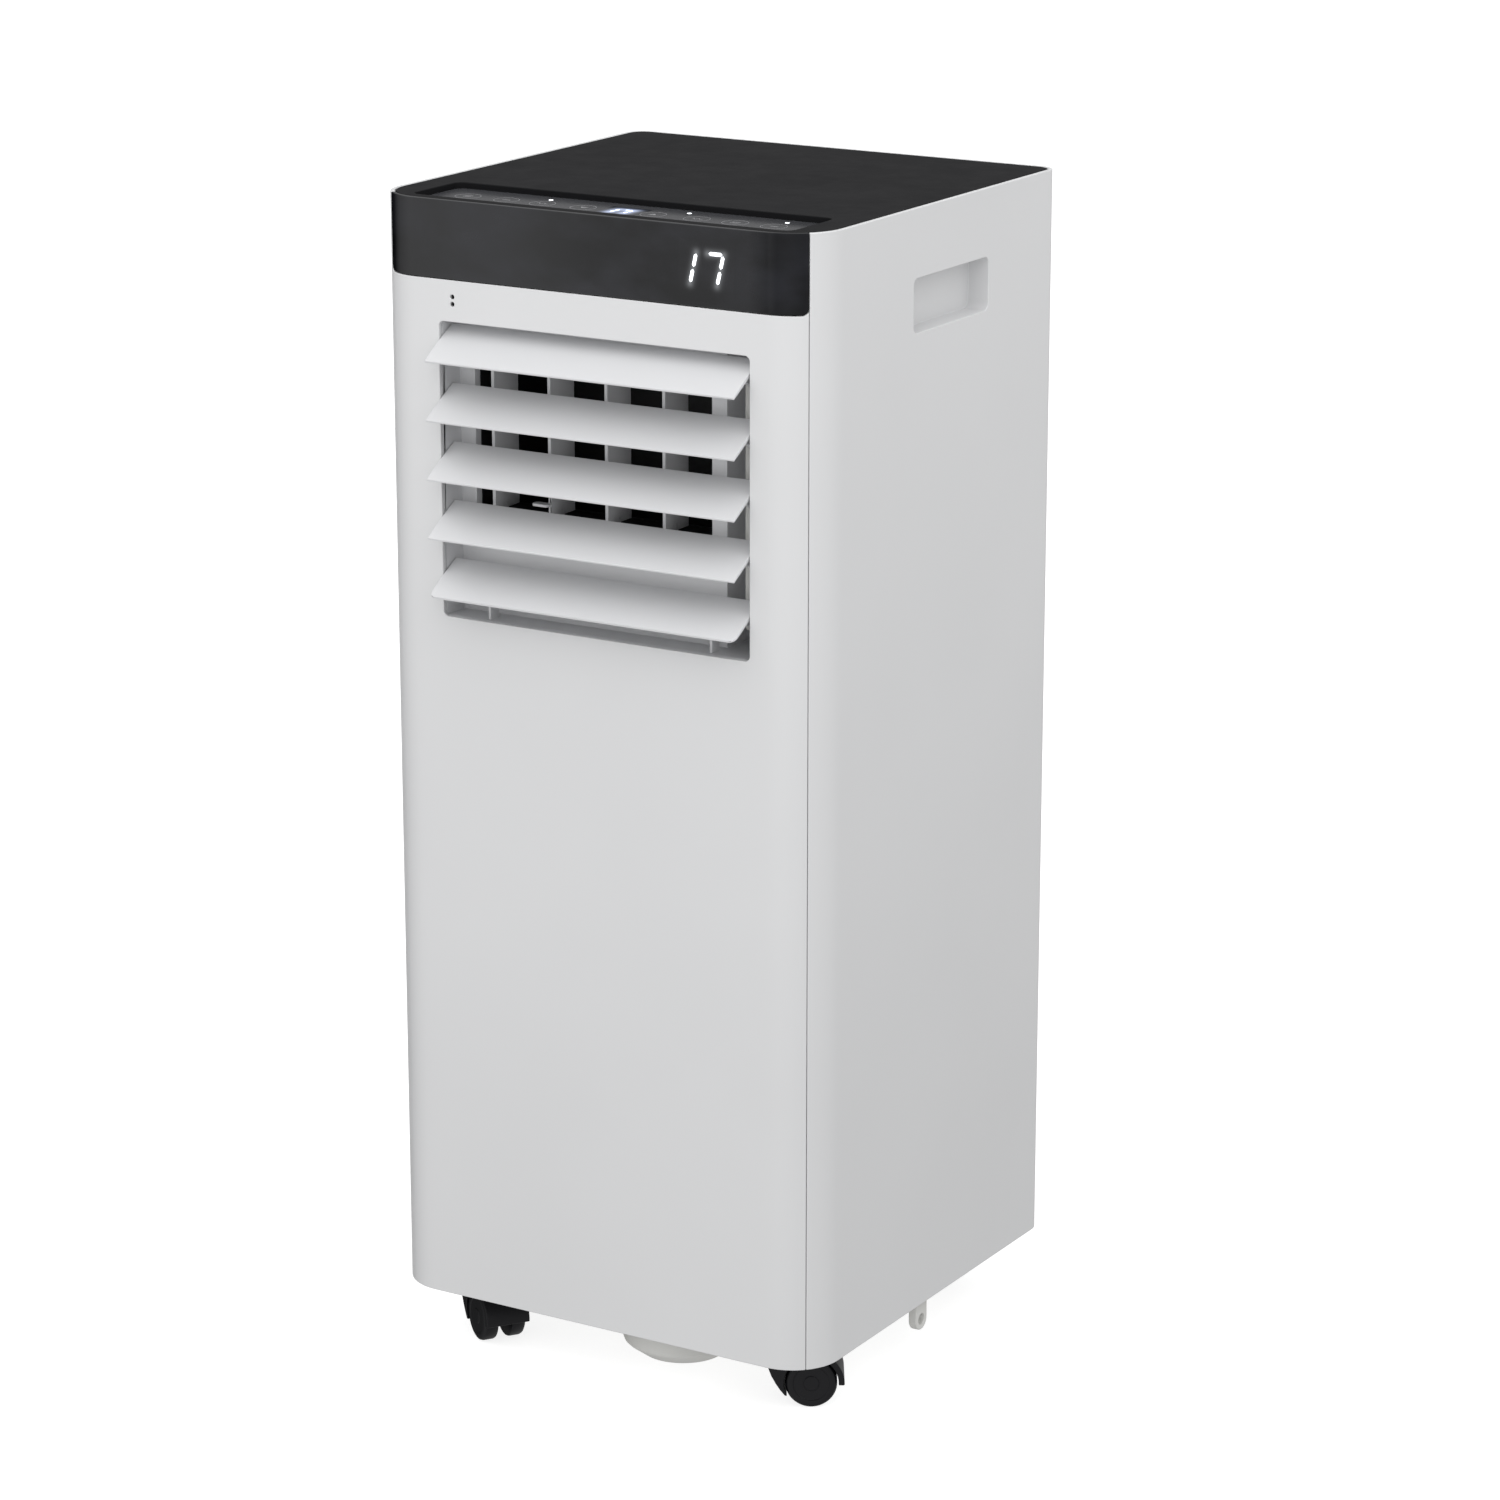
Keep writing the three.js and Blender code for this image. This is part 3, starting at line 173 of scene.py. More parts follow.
def moulded(name, color, roughness, drift=0.02, grain=0.35 * MM, specular=0.5, fade=None):
    """Moulded plastic: spark-eroded grain, and a slow drift of colour and gloss over the part.

    The two numbers of the height scaling scale the colour near the floor and near the deck: a painted shade,
    darker low down and lighter high up.
    """
    finish = Finish(name, roughness, specular=specular)
    slow = finish.noise(7.0, 3.0)
    finish.color(slow, shade(color, 1 - drift), shade(color, 1 + drift))
    # painted shade: the colour is scaled with height when asked for
    if fade:
        finish.fade(*fade)
    finish.gloss(finish.noise(26.0, 4.0), roughness * 0.9, roughness * 1.12)
    finish.relief(finish.noise(1 / grain, 2.0), 0.012 * MM)
    return finish.material


def deck_plastic(name):
    """Matte black deck with the pebbled grain that hides fingerprints."""
    color = (0.0095, 0.0095, 0.0105)
    finish = Finish(name, 0.5, specular=0.05)
    finish.color(finish.noise(9.0, 2.0), shade(color, 0.92), shade(color, 1.1))
    finish.gloss(finish.noise(60.0, 2.0), 0.48, 0.56)
    finish.relief(finish.cells(1400.0), 0.03 * MM)
    finish.relief(finish.noise(4000.0, 2.0), 0.01 * MM, 0.6)
    return finish.material


def gloss_black(name, base):
    """Polished black plastic with the faint smears left by wiping."""
    roughness = 0.07
    finish = Finish(name, roughness)
    smear = finish.noise(3.0, 5.0, finish.stretched((9.0, 9.0, 16.0)))
    dark = (base * 0.6, base * 0.62, base * 0.72)
    light = (base * 1.25, base * 1.3, base * 1.65)
    finish.color(smear, dark, light, 0.35, 0.65)
    finish.gloss(smear, roughness * 0.7, roughness * 2.2)
    finish.relief(finish.noise(90.0, 2.0), 0.006 * MM, 0.5)
    return finish


def band_plastic(name):
    """The display band: its reflection is painted weaker round the right-hand corner beside the digits, by
    lowering the specular level with X.
    """
    finish = gloss_black(name, BAND_BLACK)
    across = finish.tree.nodes.new("ShaderNodeSeparateXYZ")
    finish.link(finish.place, across.inputs[0])
    # painted reflection: the specular level falls from 0.5 to 0.13 between CORNER_START and CORNER_END
    specular = finish.between(across.outputs["X"], 0.5, 0.13, CORNER_START, CORNER_END)
    finish.link(specular, finish.shader.inputs["Specular IOR Level"])
    return finish.material


def brushed_metal(name, color, roughness, direction, metallic=0.95):
    """Sheet or turned metal: fine lines along one direction, and a slow stain."""
    finish = Finish(name, roughness, metallic=metallic)
    lines = finish.noise(1.0, 3.0, finish.stretched(direction))
    finish.color(finish.noise(18.0, 4.0), shade(color, 0.82), shade(color, 1.06))
    finish.gloss(lines, roughness * 0.75, roughness * 1.3)
    finish.relief(lines, 0.012 * MM, 0.7)
    return finish.material


def circuit_board(name):
    """Solder mask with fine tracks under it."""
    finish = Finish(name, 0.35)
    finish.color(finish.cells(260.0), (0.008, 0.075, 0.022), (0.02, 0.16, 0.05), 0.15, 0.5)
    finish.gloss(finish.noise(200.0), 0.28, 0.45)
    finish.relief(finish.cells(260.0), 0.05 * MM)
    return finish.material


def glowing(name, color, strength):
    """Lit light guide: brighter and dimmer by a little along its length."""
    texture = 240.0
    finish = Finish(name, 0.4)
    finish.color(finish.noise(texture), shade(color, 0.9), color)
    finish.shader.inputs["Emission Color"].default_value = (*color, 1)
    light = finish.between(finish.noise(texture), strength * 0.85, strength)
    finish.link(light, finish.shader.inputs["Emission Strength"])
    return finish.material


def halo(name, color, strength, base):
    """The gloss of the panel with light scattered round lit strokes; the mesh says how much at each point."""
    material = gloss_black(name, base).material
    tree = material.node_tree
    shader = tree.nodes["Principled BSDF"]
    shader.inputs["Emission Color"].default_value = (*color, 1)
    glow = tree.nodes.new("ShaderNodeAttribute")
    glow.attribute_name = "glow"
    amount = tree.nodes.new("ShaderNodeMath")
    amount.operation = "MULTIPLY"
    amount.inputs[1].default_value = strength
    tree.links.new(glow.outputs["Fac"], amount.inputs[0])
    tree.links.new(amount.outputs[0], shader.inputs["Emission Strength"])
    return material


COOL_WHITE = (0.93, 0.96, 1.0)
BLUE_WHITE = (0.62, 0.72, 1.0)
FINISHES = {
    # the white shell carries painted shade: colour scaled to 0.87 near the floor and 1.03 near the deck
    "shell_white": moulded("shell_white", (0.64, 0.643, 0.650), 0.36, drift=0.012, fade=(0.87, 1.03)),
    "vane_white": moulded("vane_white", (0.615, 0.619, 0.631), 0.38, drift=0.012),
    "deck_black": deck_plastic("deck_black"),
    "band_black": band_plastic("band_black"),
    "touch_film": moulded("touch_film", (0.050, 0.051, 0.056), 0.2, drift=0.08, grain=0.9 * MM),
    "caster_black": moulded("caster_black", (0.0035, 0.0035, 0.0048), 0.42, drift=0.15, specular=0.22),
    "inner_grey": moulded("inner_grey", (0.56, 0.56, 0.54), 0.5, drift=0.03),
    "dark_plastic": moulded("dark_plastic", (0.012, 0.012, 0.013), 0.5, drift=0.12, specular=0.3),
    "motor_steel": brushed_metal("motor_steel", (0.56, 0.57, 0.58), 0.38, (400.0, 400.0, 2600.0)),
    "coil_aluminium": brushed_metal("coil_aluminium", (0.72, 0.74, 0.75), 0.36, (900.0, 900.0, 120.0)),
    "pipe_copper": brushed_metal("pipe_copper", (0.72, 0.36, 0.20), 0.3, (700.0, 700.0, 700.0), 1.0),
    "compressor_black": moulded("compressor_black", (0.012, 0.012, 0.013), 0.3, drift=0.2, grain=1.4 * MM),
    "circuit_green": circuit_board("circuit_green"),
    "black_rubber": moulded("black_rubber", (0.013, 0.013, 0.014), 0.75, drift=0.2, specular=0.3),
}
PRINT = moulded("icon_print", (0.23, 0.23, 0.24), 0.4, drift=0.06)
LIT_DIGITS = glowing("lit_digits", COOL_WHITE, 1.6)
LIT_DOTS = glowing("lit_dots", COOL_WHITE, 2.2)
LIT_CLOCK = glowing("lit_clock", BLUE_WHITE, 2.4)
BAND_HALO = halo("band_halo", COOL_WHITE, 0.18, BAND_BLACK)
FILM_HALO = halo("film_halo", BLUE_WHITE, 0.9, FILM_BLACK)


# ---------- meshes ----------
def linked(name, mesh):
    piece = bpy.data.objects.new(name, mesh)
    bpy.context.scene.collection.objects.link(piece)
    return piece


def mesh_of(name, work):
    bmesh.ops.recalc_face_normals(work, faces=work.faces)
    mesh = bpy.data.meshes.new(name)
    work.to_mesh(mesh)
    work.free()
    return mesh


def placed(piece, body, slot, material=None, *stood_for):
    """Gives a piece its finish (picked by slot unless a material is given) and its body, and hides the CAD nodes
    it stands for.
    """
    piece.data.materials.clear()
    piece.data.materials.append(material or FINISHES[slot])
    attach(piece, body)
    if stood_for:
        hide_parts(*stood_for)
    return piece


def rounded_edges(piece, width, segments=2, angle=32.0):
    piece.data.shade_smooth()
    bevel = piece.modifiers.new("edges", "BEVEL")
    bevel.width = width
    bevel.segments = segments
    bevel.limit_method = "ANGLE"
    bevel.angle_limit = math.radians(angle)
    bevel.harden_normals = True
    bevel.use_clamp_overlap = False
    return piece


def rejoined(node):
    """The CAD node's shape as a bmesh, its triangles rejoined into flat faces."""
    source = frame["nodes"][node].data
    plain = bpy.data.meshes.new(node + "_plain")
    plain.from_pydata([v.co for v in source.vertices], [], [list(p.vertices) for p in source.polygons])
    work = bmesh.new()
    work.from_mesh(plain)
    bpy.data.meshes.remove(plain)
    bmesh.ops.remove_doubles(work, verts=work.verts, dist=0.002 * MM)
    bmesh.ops.dissolve_limit(work, angle_limit=math.radians(0.3), verts=work.verts, edges=work.edges)
    return work


def flat_faces(piece):
    """Lets the large faces rule the shading, so that long thin shapes have no false creases."""
    piece.modifiers["edges"].harden_normals = False
    weighted = piece.modifiers.new("normals", "WEIGHTED_NORMAL")
    weighted.mode = "FACE_AREA"
    weighted.weight = 100
    return piece


def refine(node, width, segments=2, angle=32.0):
    """A CAD node's shape with moulded edges, standing for that node."""
    name = node + "_skin"
    piece = linked(name, mesh_of(name, rejoined(node)))
    rounded_edges(piece, width, segments, angle)
    return placed(piece, BODY_OF[node], SLOT_OF[node], None, node)


def turned(profile, steps=96):
    """Round solid about Z from pairs of radius and height; the profile closes on itself or on the axis."""
    work = bmesh.new()
    rings = []
    for radius, height in profile:
        if radius == 0:
            rings.append([work.verts.new((0, 0, height))] * steps)
            continue
        angles = [2 * math.pi * step / steps for step in range(steps)]
        rings.append([work.verts.new((radius * math.cos(a), radius * math.sin(a), height)) for a in angles])
    closes = profile[0][0] != 0
    for low, high in zip(rings, rings[1:] + (rings[:1] if closes else [])):
        for step in range(steps):
            after = (step + 1) % steps
            corners = dict.fromkeys((low[step], low[after], high[after], high[step]))
            if len(corners) > 2:
                work.faces.new(list(corners))
    return work


def along(origin, direction, up=Vector((0, 0, 1))):
    """Matrix that stands local Z along a direction at a point; local Y is as near to up as it can be."""
    z = Vector(direction).normalized()
    x = Vector(up).cross(z).normalized()
    y = z.cross(x)
    turn = Matrix((x, y, z)).transposed().to_4x4()
    return Matrix.Translation(origin) @ turn


def cutout(name, outlines, thickness, matrix, bevel=0.0):
    """Flat solid in local XY from closed outlines; an outline inside another is a hole."""
    curve = bpy.data.curves.new(name, "CURVE")
    curve.dimensions = "2D"
    curve.fill_mode = "BOTH"
    curve.extrude = thickness / 2 - bevel
    curve.bevel_depth = bevel
    curve.offset = -bevel
    for outline in outlines:
        spline = curve.splines.new("POLY")
        spline.points.add(len(outline) - 1)
        for point, (x, y) in zip(spline.points, outline):
            point.co = (x, y, 0, 1)
        spline.use_cyclic_u = True
    drawn = bpy.data.objects.new(name + "_curve", curve)
    mesh = bpy.data.meshes.new_from_object(drawn)
    bpy.data.objects.remove(drawn)
    bpy.data.curves.remove(curve)
    mesh.transform(matrix)
    work = bmesh.new()
    work.from_mesh(mesh)
    bpy.data.meshes.remove(mesh)
    bmesh.ops.remove_doubles(work, verts=work.verts, dist=0.001 * MM)
    return linked(name, mesh_of(name, work))


def circle(x, y, radius, steps=40):
    angles = [2 * math.pi * step / steps for step in range(steps)]
    return [(x + radius * math.cos(a), y + radius * math.sin(a)) for a in angles]


def bar_solid(work, low, high):
    """Adds an upright box between two corners."""
    size = [b - a for a, b in zip(low, high)]
    middle = [(a + b) / 2 for a, b in zip(low, high)]
    place = Matrix.Translation(middle) @ Matrix.Diagonal((*size, 1))
    bmesh.ops.create_cube(work, size=1.0, matrix=place)


# ---------- cabinet ----------
def make_cabinet():
    for node in ("front_panel", "side_panel_left", "side_panel_right", "rear_panel"):
        refine(node, 0.55 * MM, 3)
    refine("display_band", 0.5 * MM, 3)
    refine("top_cover", 0.7 * MM, 3)
    refine("touch_panel", 0.25 * MM)
    refine("base_pan", 0.5 * MM)
    refine("lower_grille", 0.35 * MM)
    refine("rear_grille", 0.35 * MM)
    refine("tie_lug", 0.9 * MM, 3)


WELL_RADIUS = 62 * MM
WELL_WALL = 2.5 * MM
WELL_SOFT = 5 * MM          # rounding between the cup's floor and its wall
WELL_MOUTH = 16 * MM        # radius of the way down into the sump
SUMP_DEPTH = 16 * MM
SUMP_ASIDE = 12 * MM        # right of the cup's middle
SUMP_RADIUS = 35 * MM
SUMP_PROFILE = (            # radius and height, in millimetres
    (0, 0), (20, 0), (22.5, 0.3), (24.6, 1.2), (33.2, 7.6), (34.4, 8.8), (35, 10.5), (35, 20),
    (18, 20), (18, 17.5), (32.5, 17.5), (32.5, 11), (24, 3.8), (20, 2.5), (0, 2.5))


def make_well():
    """Round cup under the base that the compressor stands in, and the small sump below it."""
    low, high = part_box("compressor_well")
    radius, wall, soft, mouth = WELL_RADIUS, WELL_WALL, WELL_SOFT, WELL_MOUTH
    floor = low.z + SUMP_DEPTH
    depth = high.z - floor
    centre = Vector((high.x - radius, high.y - radius, floor))
    profile = [(mouth, 0), (radius - 9 * MM, 0)]
    for step in range(7):
        angle = math.pi / 2 * step / 6
        profile.append((radius - soft + soft * math.sin(angle), soft - soft * math.cos(angle)))
    profile += [(radius, depth), (radius - wall, depth), (radius - wall, soft + wall),
                (radius - wall - soft, wall), (mouth, wall), (mouth, 0)]
    turned_piece("compressor_cup", profile, centre, "compressor_well")
    place = Vector((centre.x + SUMP_ASIDE, low.y + SUMP_RADIUS, low.z))
    turned_piece("compressor_sump", [(r * MM, z * MM) for r, z in SUMP_PROFILE], place)


def turned_piece(name, profile, centre, *stood_for):
    """Round shell of the well, in the well's own grey."""
    work = turned(profile, 128)
    work.transform(Matrix.Translation(centre))
    piece = linked(name, mesh_of(name, work))
    rounded_edges(piece, 0.5 * MM, 2)
    placed(piece, BODY_OF["compressor_well"], "inner_grey", None, *stood_for)


def make_rear_screws():
    """Cross-head screws, set flush in the rear panel."""
    low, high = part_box("rear_panel")
    aside = high.x - 5 * MM
    heights = (low.z + 8 * MM, (low.z + high.z) / 2 - 40 * MM, high.z - 10 * MM)
    head = 3.2 * MM
    arm, half = 1.9 * MM, 0.4 * MM
    cross = [(-half, -arm), (half, -arm), (half, -half), (arm, -half), (arm, half), (half, half),
             (half, arm), (-half, arm), (-half, half), (-arm, half), (-arm, -half), (-half, -half)]
    for side in (-1, 1):
        for index, height in enumerate(heights):
            matrix = along((side * aside, BACK + 0.2 * MM, height), (0, 1, 0))
            name = f"rear_screw_{'left' if side < 0 else 'right'}_{index + 1}"
            piece = cutout(name, [circle(0, 0, head), cross], 1.2 * MM, matrix, 0.3 * MM)
            placed(piece, "cabinet", "motor_steel")


# ---------- band and deck lights ----------
DIGIT_HEIGHT = 16.8 * MM
DIGIT_WIDTH = 9.8 * MM
DIGIT_PITCH = 16.8 * MM
DIGIT_SLANT = 0.235
STROKE = 1.0 * MM          # half the width of a stroke
STROKE_GAP = 0.65 * MM
DIGITS_MIDDLE = (LEFT + 217.2 * MM, TOP - 22.9 * MM)    # right-hand stroke of the last digit
LIT = {"1": ("upper", "lower"), "7": ("upper", "lower", "top")}


def digit_lines(text, right, middle, height, width, pitch, slant):
    """End points of the lit strokes; right and middle place the last digit's right-hand stroke."""
    lines = []
    for index, digit in enumerate(text):
        x = right - (len(text) - 1 - index) * pitch

        def point(dx, dz):
            return Vector((x + dx + slant * dz, middle + dz))

        half = height / 2
        strokes = {"upper": (point(0, half), point(0, 0)), "lower": (point(0, 0), point(0, -half)),
                   "top": (point(-width, half), point(0, half))}
        lines += [strokes[name] for name in LIT[digit]]
    return lines


def stroke_outline(start, end, half, gap):
    """Six-sided stroke with pointed ends."""
    way = (end - start).normalized()
    side = Vector((-way.y, way.x)) * half
    a, b = start + way * gap, end - way * gap
    tip = way * half
    return [a, a + tip + side, b - tip + side, b, b - tip - side, a + tip - side]


def halo_sheet(name, lines, reach, spacing, sigma, to_frame):
    """Fine grid round the strokes, holding how much light reaches each of its points."""
    ends = [point for line in lines for point in line]
    x0, x1 = min(p.x for p in ends) - reach, max(p.x for p in ends) + reach
    y0, y1 = min(p.y for p in ends) - reach, max(p.y for p in ends) + reach
    columns, rows = int((x1 - x0) / spacing), int((y1 - y0) / spacing)
    work = bmesh.new()
    layer = work.verts.layers.float.new("glow")
    grid = []
    for row in range(rows + 1):
        grid.append([])
        for column in range(columns + 1):
            spot = Vector((x0 + (x1 - x0) * column / columns, y0 + (y1 - y0) * row / rows))
            glow = 0.0
            for start, end in lines:
                way = end - start
                share = max(0.0, min(1.0, (spot - start).dot(way) / way.length_squared))
                distance = (spot - start - way * share).length
                glow = max(glow, math.exp(-(distance / sigma) ** 1.5))
            edge = min(row, column, rows - row, columns - column) * spacing / (reach * 0.6)
            vert = work.verts.new(to_frame(spot.x, spot.y))
            vert[layer] = glow * min(1.0, edge)
            grid[-1].append(vert)
    for row in range(rows):
        for column in range(columns):
            work.faces.new((grid[row][column], grid[row][column + 1],
                            grid[row + 1][column + 1], grid[row + 1][column]))
    mesh = bpy.data.meshes.new(name)
    work.to_mesh(mesh)
    work.free()
    sheet = linked(name, mesh)
    thick = sheet.modifiers.new("thickness", "SOLIDIFY")
    thick.thickness = 0.1 * MM
    thick.offset = -1
    return sheet


def make_display():
    """The lit number on the front band, and the light it spreads behind the gloss."""
    right, middle = DIGITS_MIDDLE
    lines = digit_lines("17", right, middle, DIGIT_HEIGHT, DIGIT_WIDTH, DIGIT_PITCH, DIGIT_SLANT)
    sheet = halo_sheet("display_window", lines, 7 * MM, 0.7 * MM, 1.8 * MM,
                       lambda x, z: (x, FRONT - 0.04 * MM, z))
    placed(sheet, "cabinet", "band_black", BAND_HALO)
    outlines = [stroke_outline(a, b, STROKE, STROKE_GAP) for a, b in lines]
    matrix = along((0, FRONT - 0.07 * MM, 0), (0, -1, 0))
    digits = cutout("display_digits", outlines, 0.12 * MM, matrix, 0.02 * MM)
    placed(digits, "cabinet", "band_black", LIT_DIGITS)


KEY_X = (-100, -74.6, -51, -24.5, None, 20.4, 48, 72, 96)       # millimetres from the middle
KEY_FROM_FRONT = 35 * MM
KEY_RADIUS = 7.4 * MM
LIGHT_DOTS = ((80, 47), (131.5, 22.5), (168.5, 48), (229.5, 48.5))     # from the left and the front


def key_glyph(index, x, y):
    """Plain sign of one touch key."""
    size = 2.6 * MM
    thin = 0.45 * MM
    if index == 3:
        return [[(x - size, y + size * 0.6), (x, y - size * 0.8), (x + size, y + size * 0.6)]]
    if index == 5:
        return [[(x - size, y - size * 0.6), (x + size, y - size * 0.6), (x, y + size * 0.8)]]
    if index in (2, 6):
        wave = [(x + size * 1.3 * t / 6, y + size * 0.5 * math.sin(t * math.pi / 3)) for t in range(-6, 7)]
        return [[(a, b + thin) for a, b in wave] + [(a, b - thin) for a, b in reversed(wave)]]
    bars = (0.0,) if index in (1, 8) else (-size * 0.45, size * 0.45)
    return [[(x - size, y + lift - thin), (x + size, y + lift - thin),
             (x + size, y + lift + thin), (x - size, y + lift + thin)] for lift in bars]


def make_touch_keys():
    """Printed rings and signs on the touch strip, its pilot lights and its small lit number."""
    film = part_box("touch_panel")[1].z
    y = FRONT + KEY_FROM_FRONT
    outlines = []
    for index, aside in enumerate(KEY_X):
        if aside is None:
            continue
        x = aside * MM
        outlines += [circle(x, y, KEY_RADIUS, 48), circle(x, y, KEY_RADIUS - 0.32 * MM, 48)]
        outlines += key_glyph(index, x, y)
    matrix = Matrix.Translation((0, 0, film + 0.02 * MM))
    placed(cutout("touch_key_prints", outlines, 0.08 * MM, matrix), "cabinet", "touch_film", PRINT)
    dots = [circle(LEFT + x * MM, FRONT + from_front * MM, 1.25 * MM, 20) for x, from_front in LIGHT_DOTS]
    placed(cutout("pilot_lights", dots, 0.16 * MM, matrix, 0.03 * MM), "cabinet", "touch_film", LIT_DOTS)

    lines = digit_lines("17", 4.5 * MM, y, 9 * MM, 5.4 * MM, 8.6 * MM, 0.1)
    sheet = halo_sheet("deck_window", lines, 8 * MM, 0.8 * MM, 3.4 * MM,
                       lambda x, y: (x, y, film + 0.05 * MM))
    placed(sheet, "cabinet", "touch_film", FILM_HALO)
    strokes = [stroke_outline(a, b, 0.75 * MM, 0.4 * MM) for a, b in lines]
    matrix = Matrix.Translation((0, 0, film + 0.08 * MM))
    placed(cutout("deck_digits", strokes, 0.1 * MM, matrix), "cabinet", "touch_film", LIT_CLOCK)


# ---------- air outlet ----------
def make_outlet():
    refine("outlet_frame", 0.35 * MM)
    refine("nozzle_duct", 0.3 * MM)
    for index in range(1, 6):
        flat_faces(refine(f"louver_vane_{index}", 0.3 * MM, 3))
    for index in range(1, 5):
        refine(f"air_fin_{index}", 0.3 * MM, 2)
    for node in ("louver_link_bar", "louver_crank", "fin_link_bar"):
        refine(node, 0.25 * MM)


# ---------- casters ----------
def make_caster(tag):
    refine(f"caster_hood_{tag}", 0.6 * MM, 3, 40.0)
    node = f"caster_wheel_{tag}"
    low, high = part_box(node)
    centre = (low + high) / 2
    radius = centre.z
    half = 13 * MM
    inner = 4.1 * MM
    outside = [(2 * MM, inner), (radius - 1.2 * MM, inner), (radius - 0.3 * MM, inner + 0.4 * MM),
               (radius, inner + 1.3 * MM), (radius, half - 2.2 * MM), (radius - 0.5 * MM, half - 0.9 * MM),
               (radius - 1.6 * MM, half - 0.2 * MM), (radius - 2.8 * MM, half), (radius - 4.2 * MM, half),
               (radius - 4.7 * MM, half - 0.5 * MM), (4.6 * MM, half - 0.5 * MM), (4.2 * MM, half),
               (1 * MM, half), (0, half)]
    profile = [(r, -z) for r, z in reversed(outside)] + outside
    work = turned(profile, 72)
    work.transform(along(centre, JOINTS[f"wheel_{tag}_roll"]["axis"]))
    piece = linked(f"caster_tyre_{tag}", mesh_of(node, work))
    rounded_edges(piece, 0.15 * MM, 2, 40.0)
    placed(piece, BODY_OF[node], "caster_black", None, node)


# ---------- rear fittings ----------
def make_collar():
    """Hose spigot with a rolled lip and three bayonet ramps."""
    node = "exhaust_collar"
    low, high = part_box(node)
    centre = ((low.x + high.x) / 2, BACK, (low.z + high.z) / 2)
    flange = (high.x - low.x) / 2
    reach = high.y - BACK
    start = low.y - BACK
    inner, outer = flange - 12 * MM, flange - 8.2 * MM
    profile = [(inner, start), (outer - 0.8 * MM, start), (outer - 0.8 * MM, 0.4 * MM), (flange, 0.4 * MM),
               (flange, 1.9 * MM), (flange - 0.9 * MM, 2.8 * MM), (outer + 0.5 * MM, 2.8 * MM),
               (outer, 3.4 * MM), (outer, reach - 2.5 * MM), (outer + 0.7 * MM, reach - 1.9 * MM),
               (outer + 0.7 * MM, reach - 0.6 * MM), (outer, reach), (inner + 0.5 * MM, reach),
               (inner, reach - 0.5 * MM)]
    work = turned(profile, 144)
    work.transform(along(centre, (0, 1, 0)))
    piece = linked("hose_spigot", mesh_of("hose_spigot", work))
    rounded_edges(piece, 0.3 * MM, 2, 40.0)
    placed(piece, "cabinet", SLOT_OF[node], None, node)
    for index in range(3):
        sweep = [math.radians(120 * index + 25 * step / 8) for step in range(9)]
        crest, root = outer + 2.2 * MM, outer - 0.3 * MM
        outline = [(crest * math.cos(a), crest * math.sin(a)) for a in sweep]
        outline += [(root * math.cos(a), root * math.sin(a)) for a in reversed(sweep)]
        matrix = along((centre[0], BACK + reach - 7 * MM, centre[2]), (0, 1, 0))
        ramp = cutout(f"bayonet_ramp_{index + 1}", [outline], 2.4 * MM, matrix, 0.4 * MM)
        placed(ramp, "cabinet", SLOT_OF[node])


def make_filter():
    """Woven filter net in its frame."""
    node = "air_filter"
    low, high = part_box(node)
    border = 7 * MM
    thread = 0.45 * MM
    pitch = 3 * MM
    y = low.y + 2 * MM
    work = bmesh.new()
    for x0, x1, z0, z1 in ((low.x, high.x, low.z, low.z + border), (low.x, high.x, high.z - border, high.z),
                           (low.x, low.x + border, low.z + border, high.z - border),
                           (high.x - border, high.x, low.z + border, high.z - border)):
        bar_solid(work, (x0, low.y, z0), (x1, high.y, z1))
    for share in (1 / 3, 2 / 3):
        x = low.x + (high.x - low.x) * share
        bar_solid(work, (x - 1.5 * MM, y - 1 * MM, low.z + border),
                  (x + 1.5 * MM, y + 1 * MM, high.z - border))
    frame_piece = linked("filter_frame", mesh_of("filter_frame", work))
    rounded_edges(frame_piece, 0.5 * MM)
    placed(frame_piece, BODY_OF[node], SLOT_OF[node], None, node)
    work = bmesh.new()
    for index in range(1, int((high.x - low.x - 2 * border) / pitch) + 1):
        x = low.x + border + index * pitch
        bar_solid(work, (x - thread / 2, y, low.z + border), (x + thread / 2, y + thread, high.z - border))
    for index in range(1, int((high.z - low.z - 2 * border) / pitch) + 1):
        z = low.z + border + index * pitch
        bar_solid(work, (low.x + border, y + thread, z - thread / 2),
                  (high.x - border, y + 2 * thread, z + thread / 2))
    net = linked("filter_net", mesh_of("filter_net", work))
    placed(net, BODY_OF[node], SLOT_OF[node])


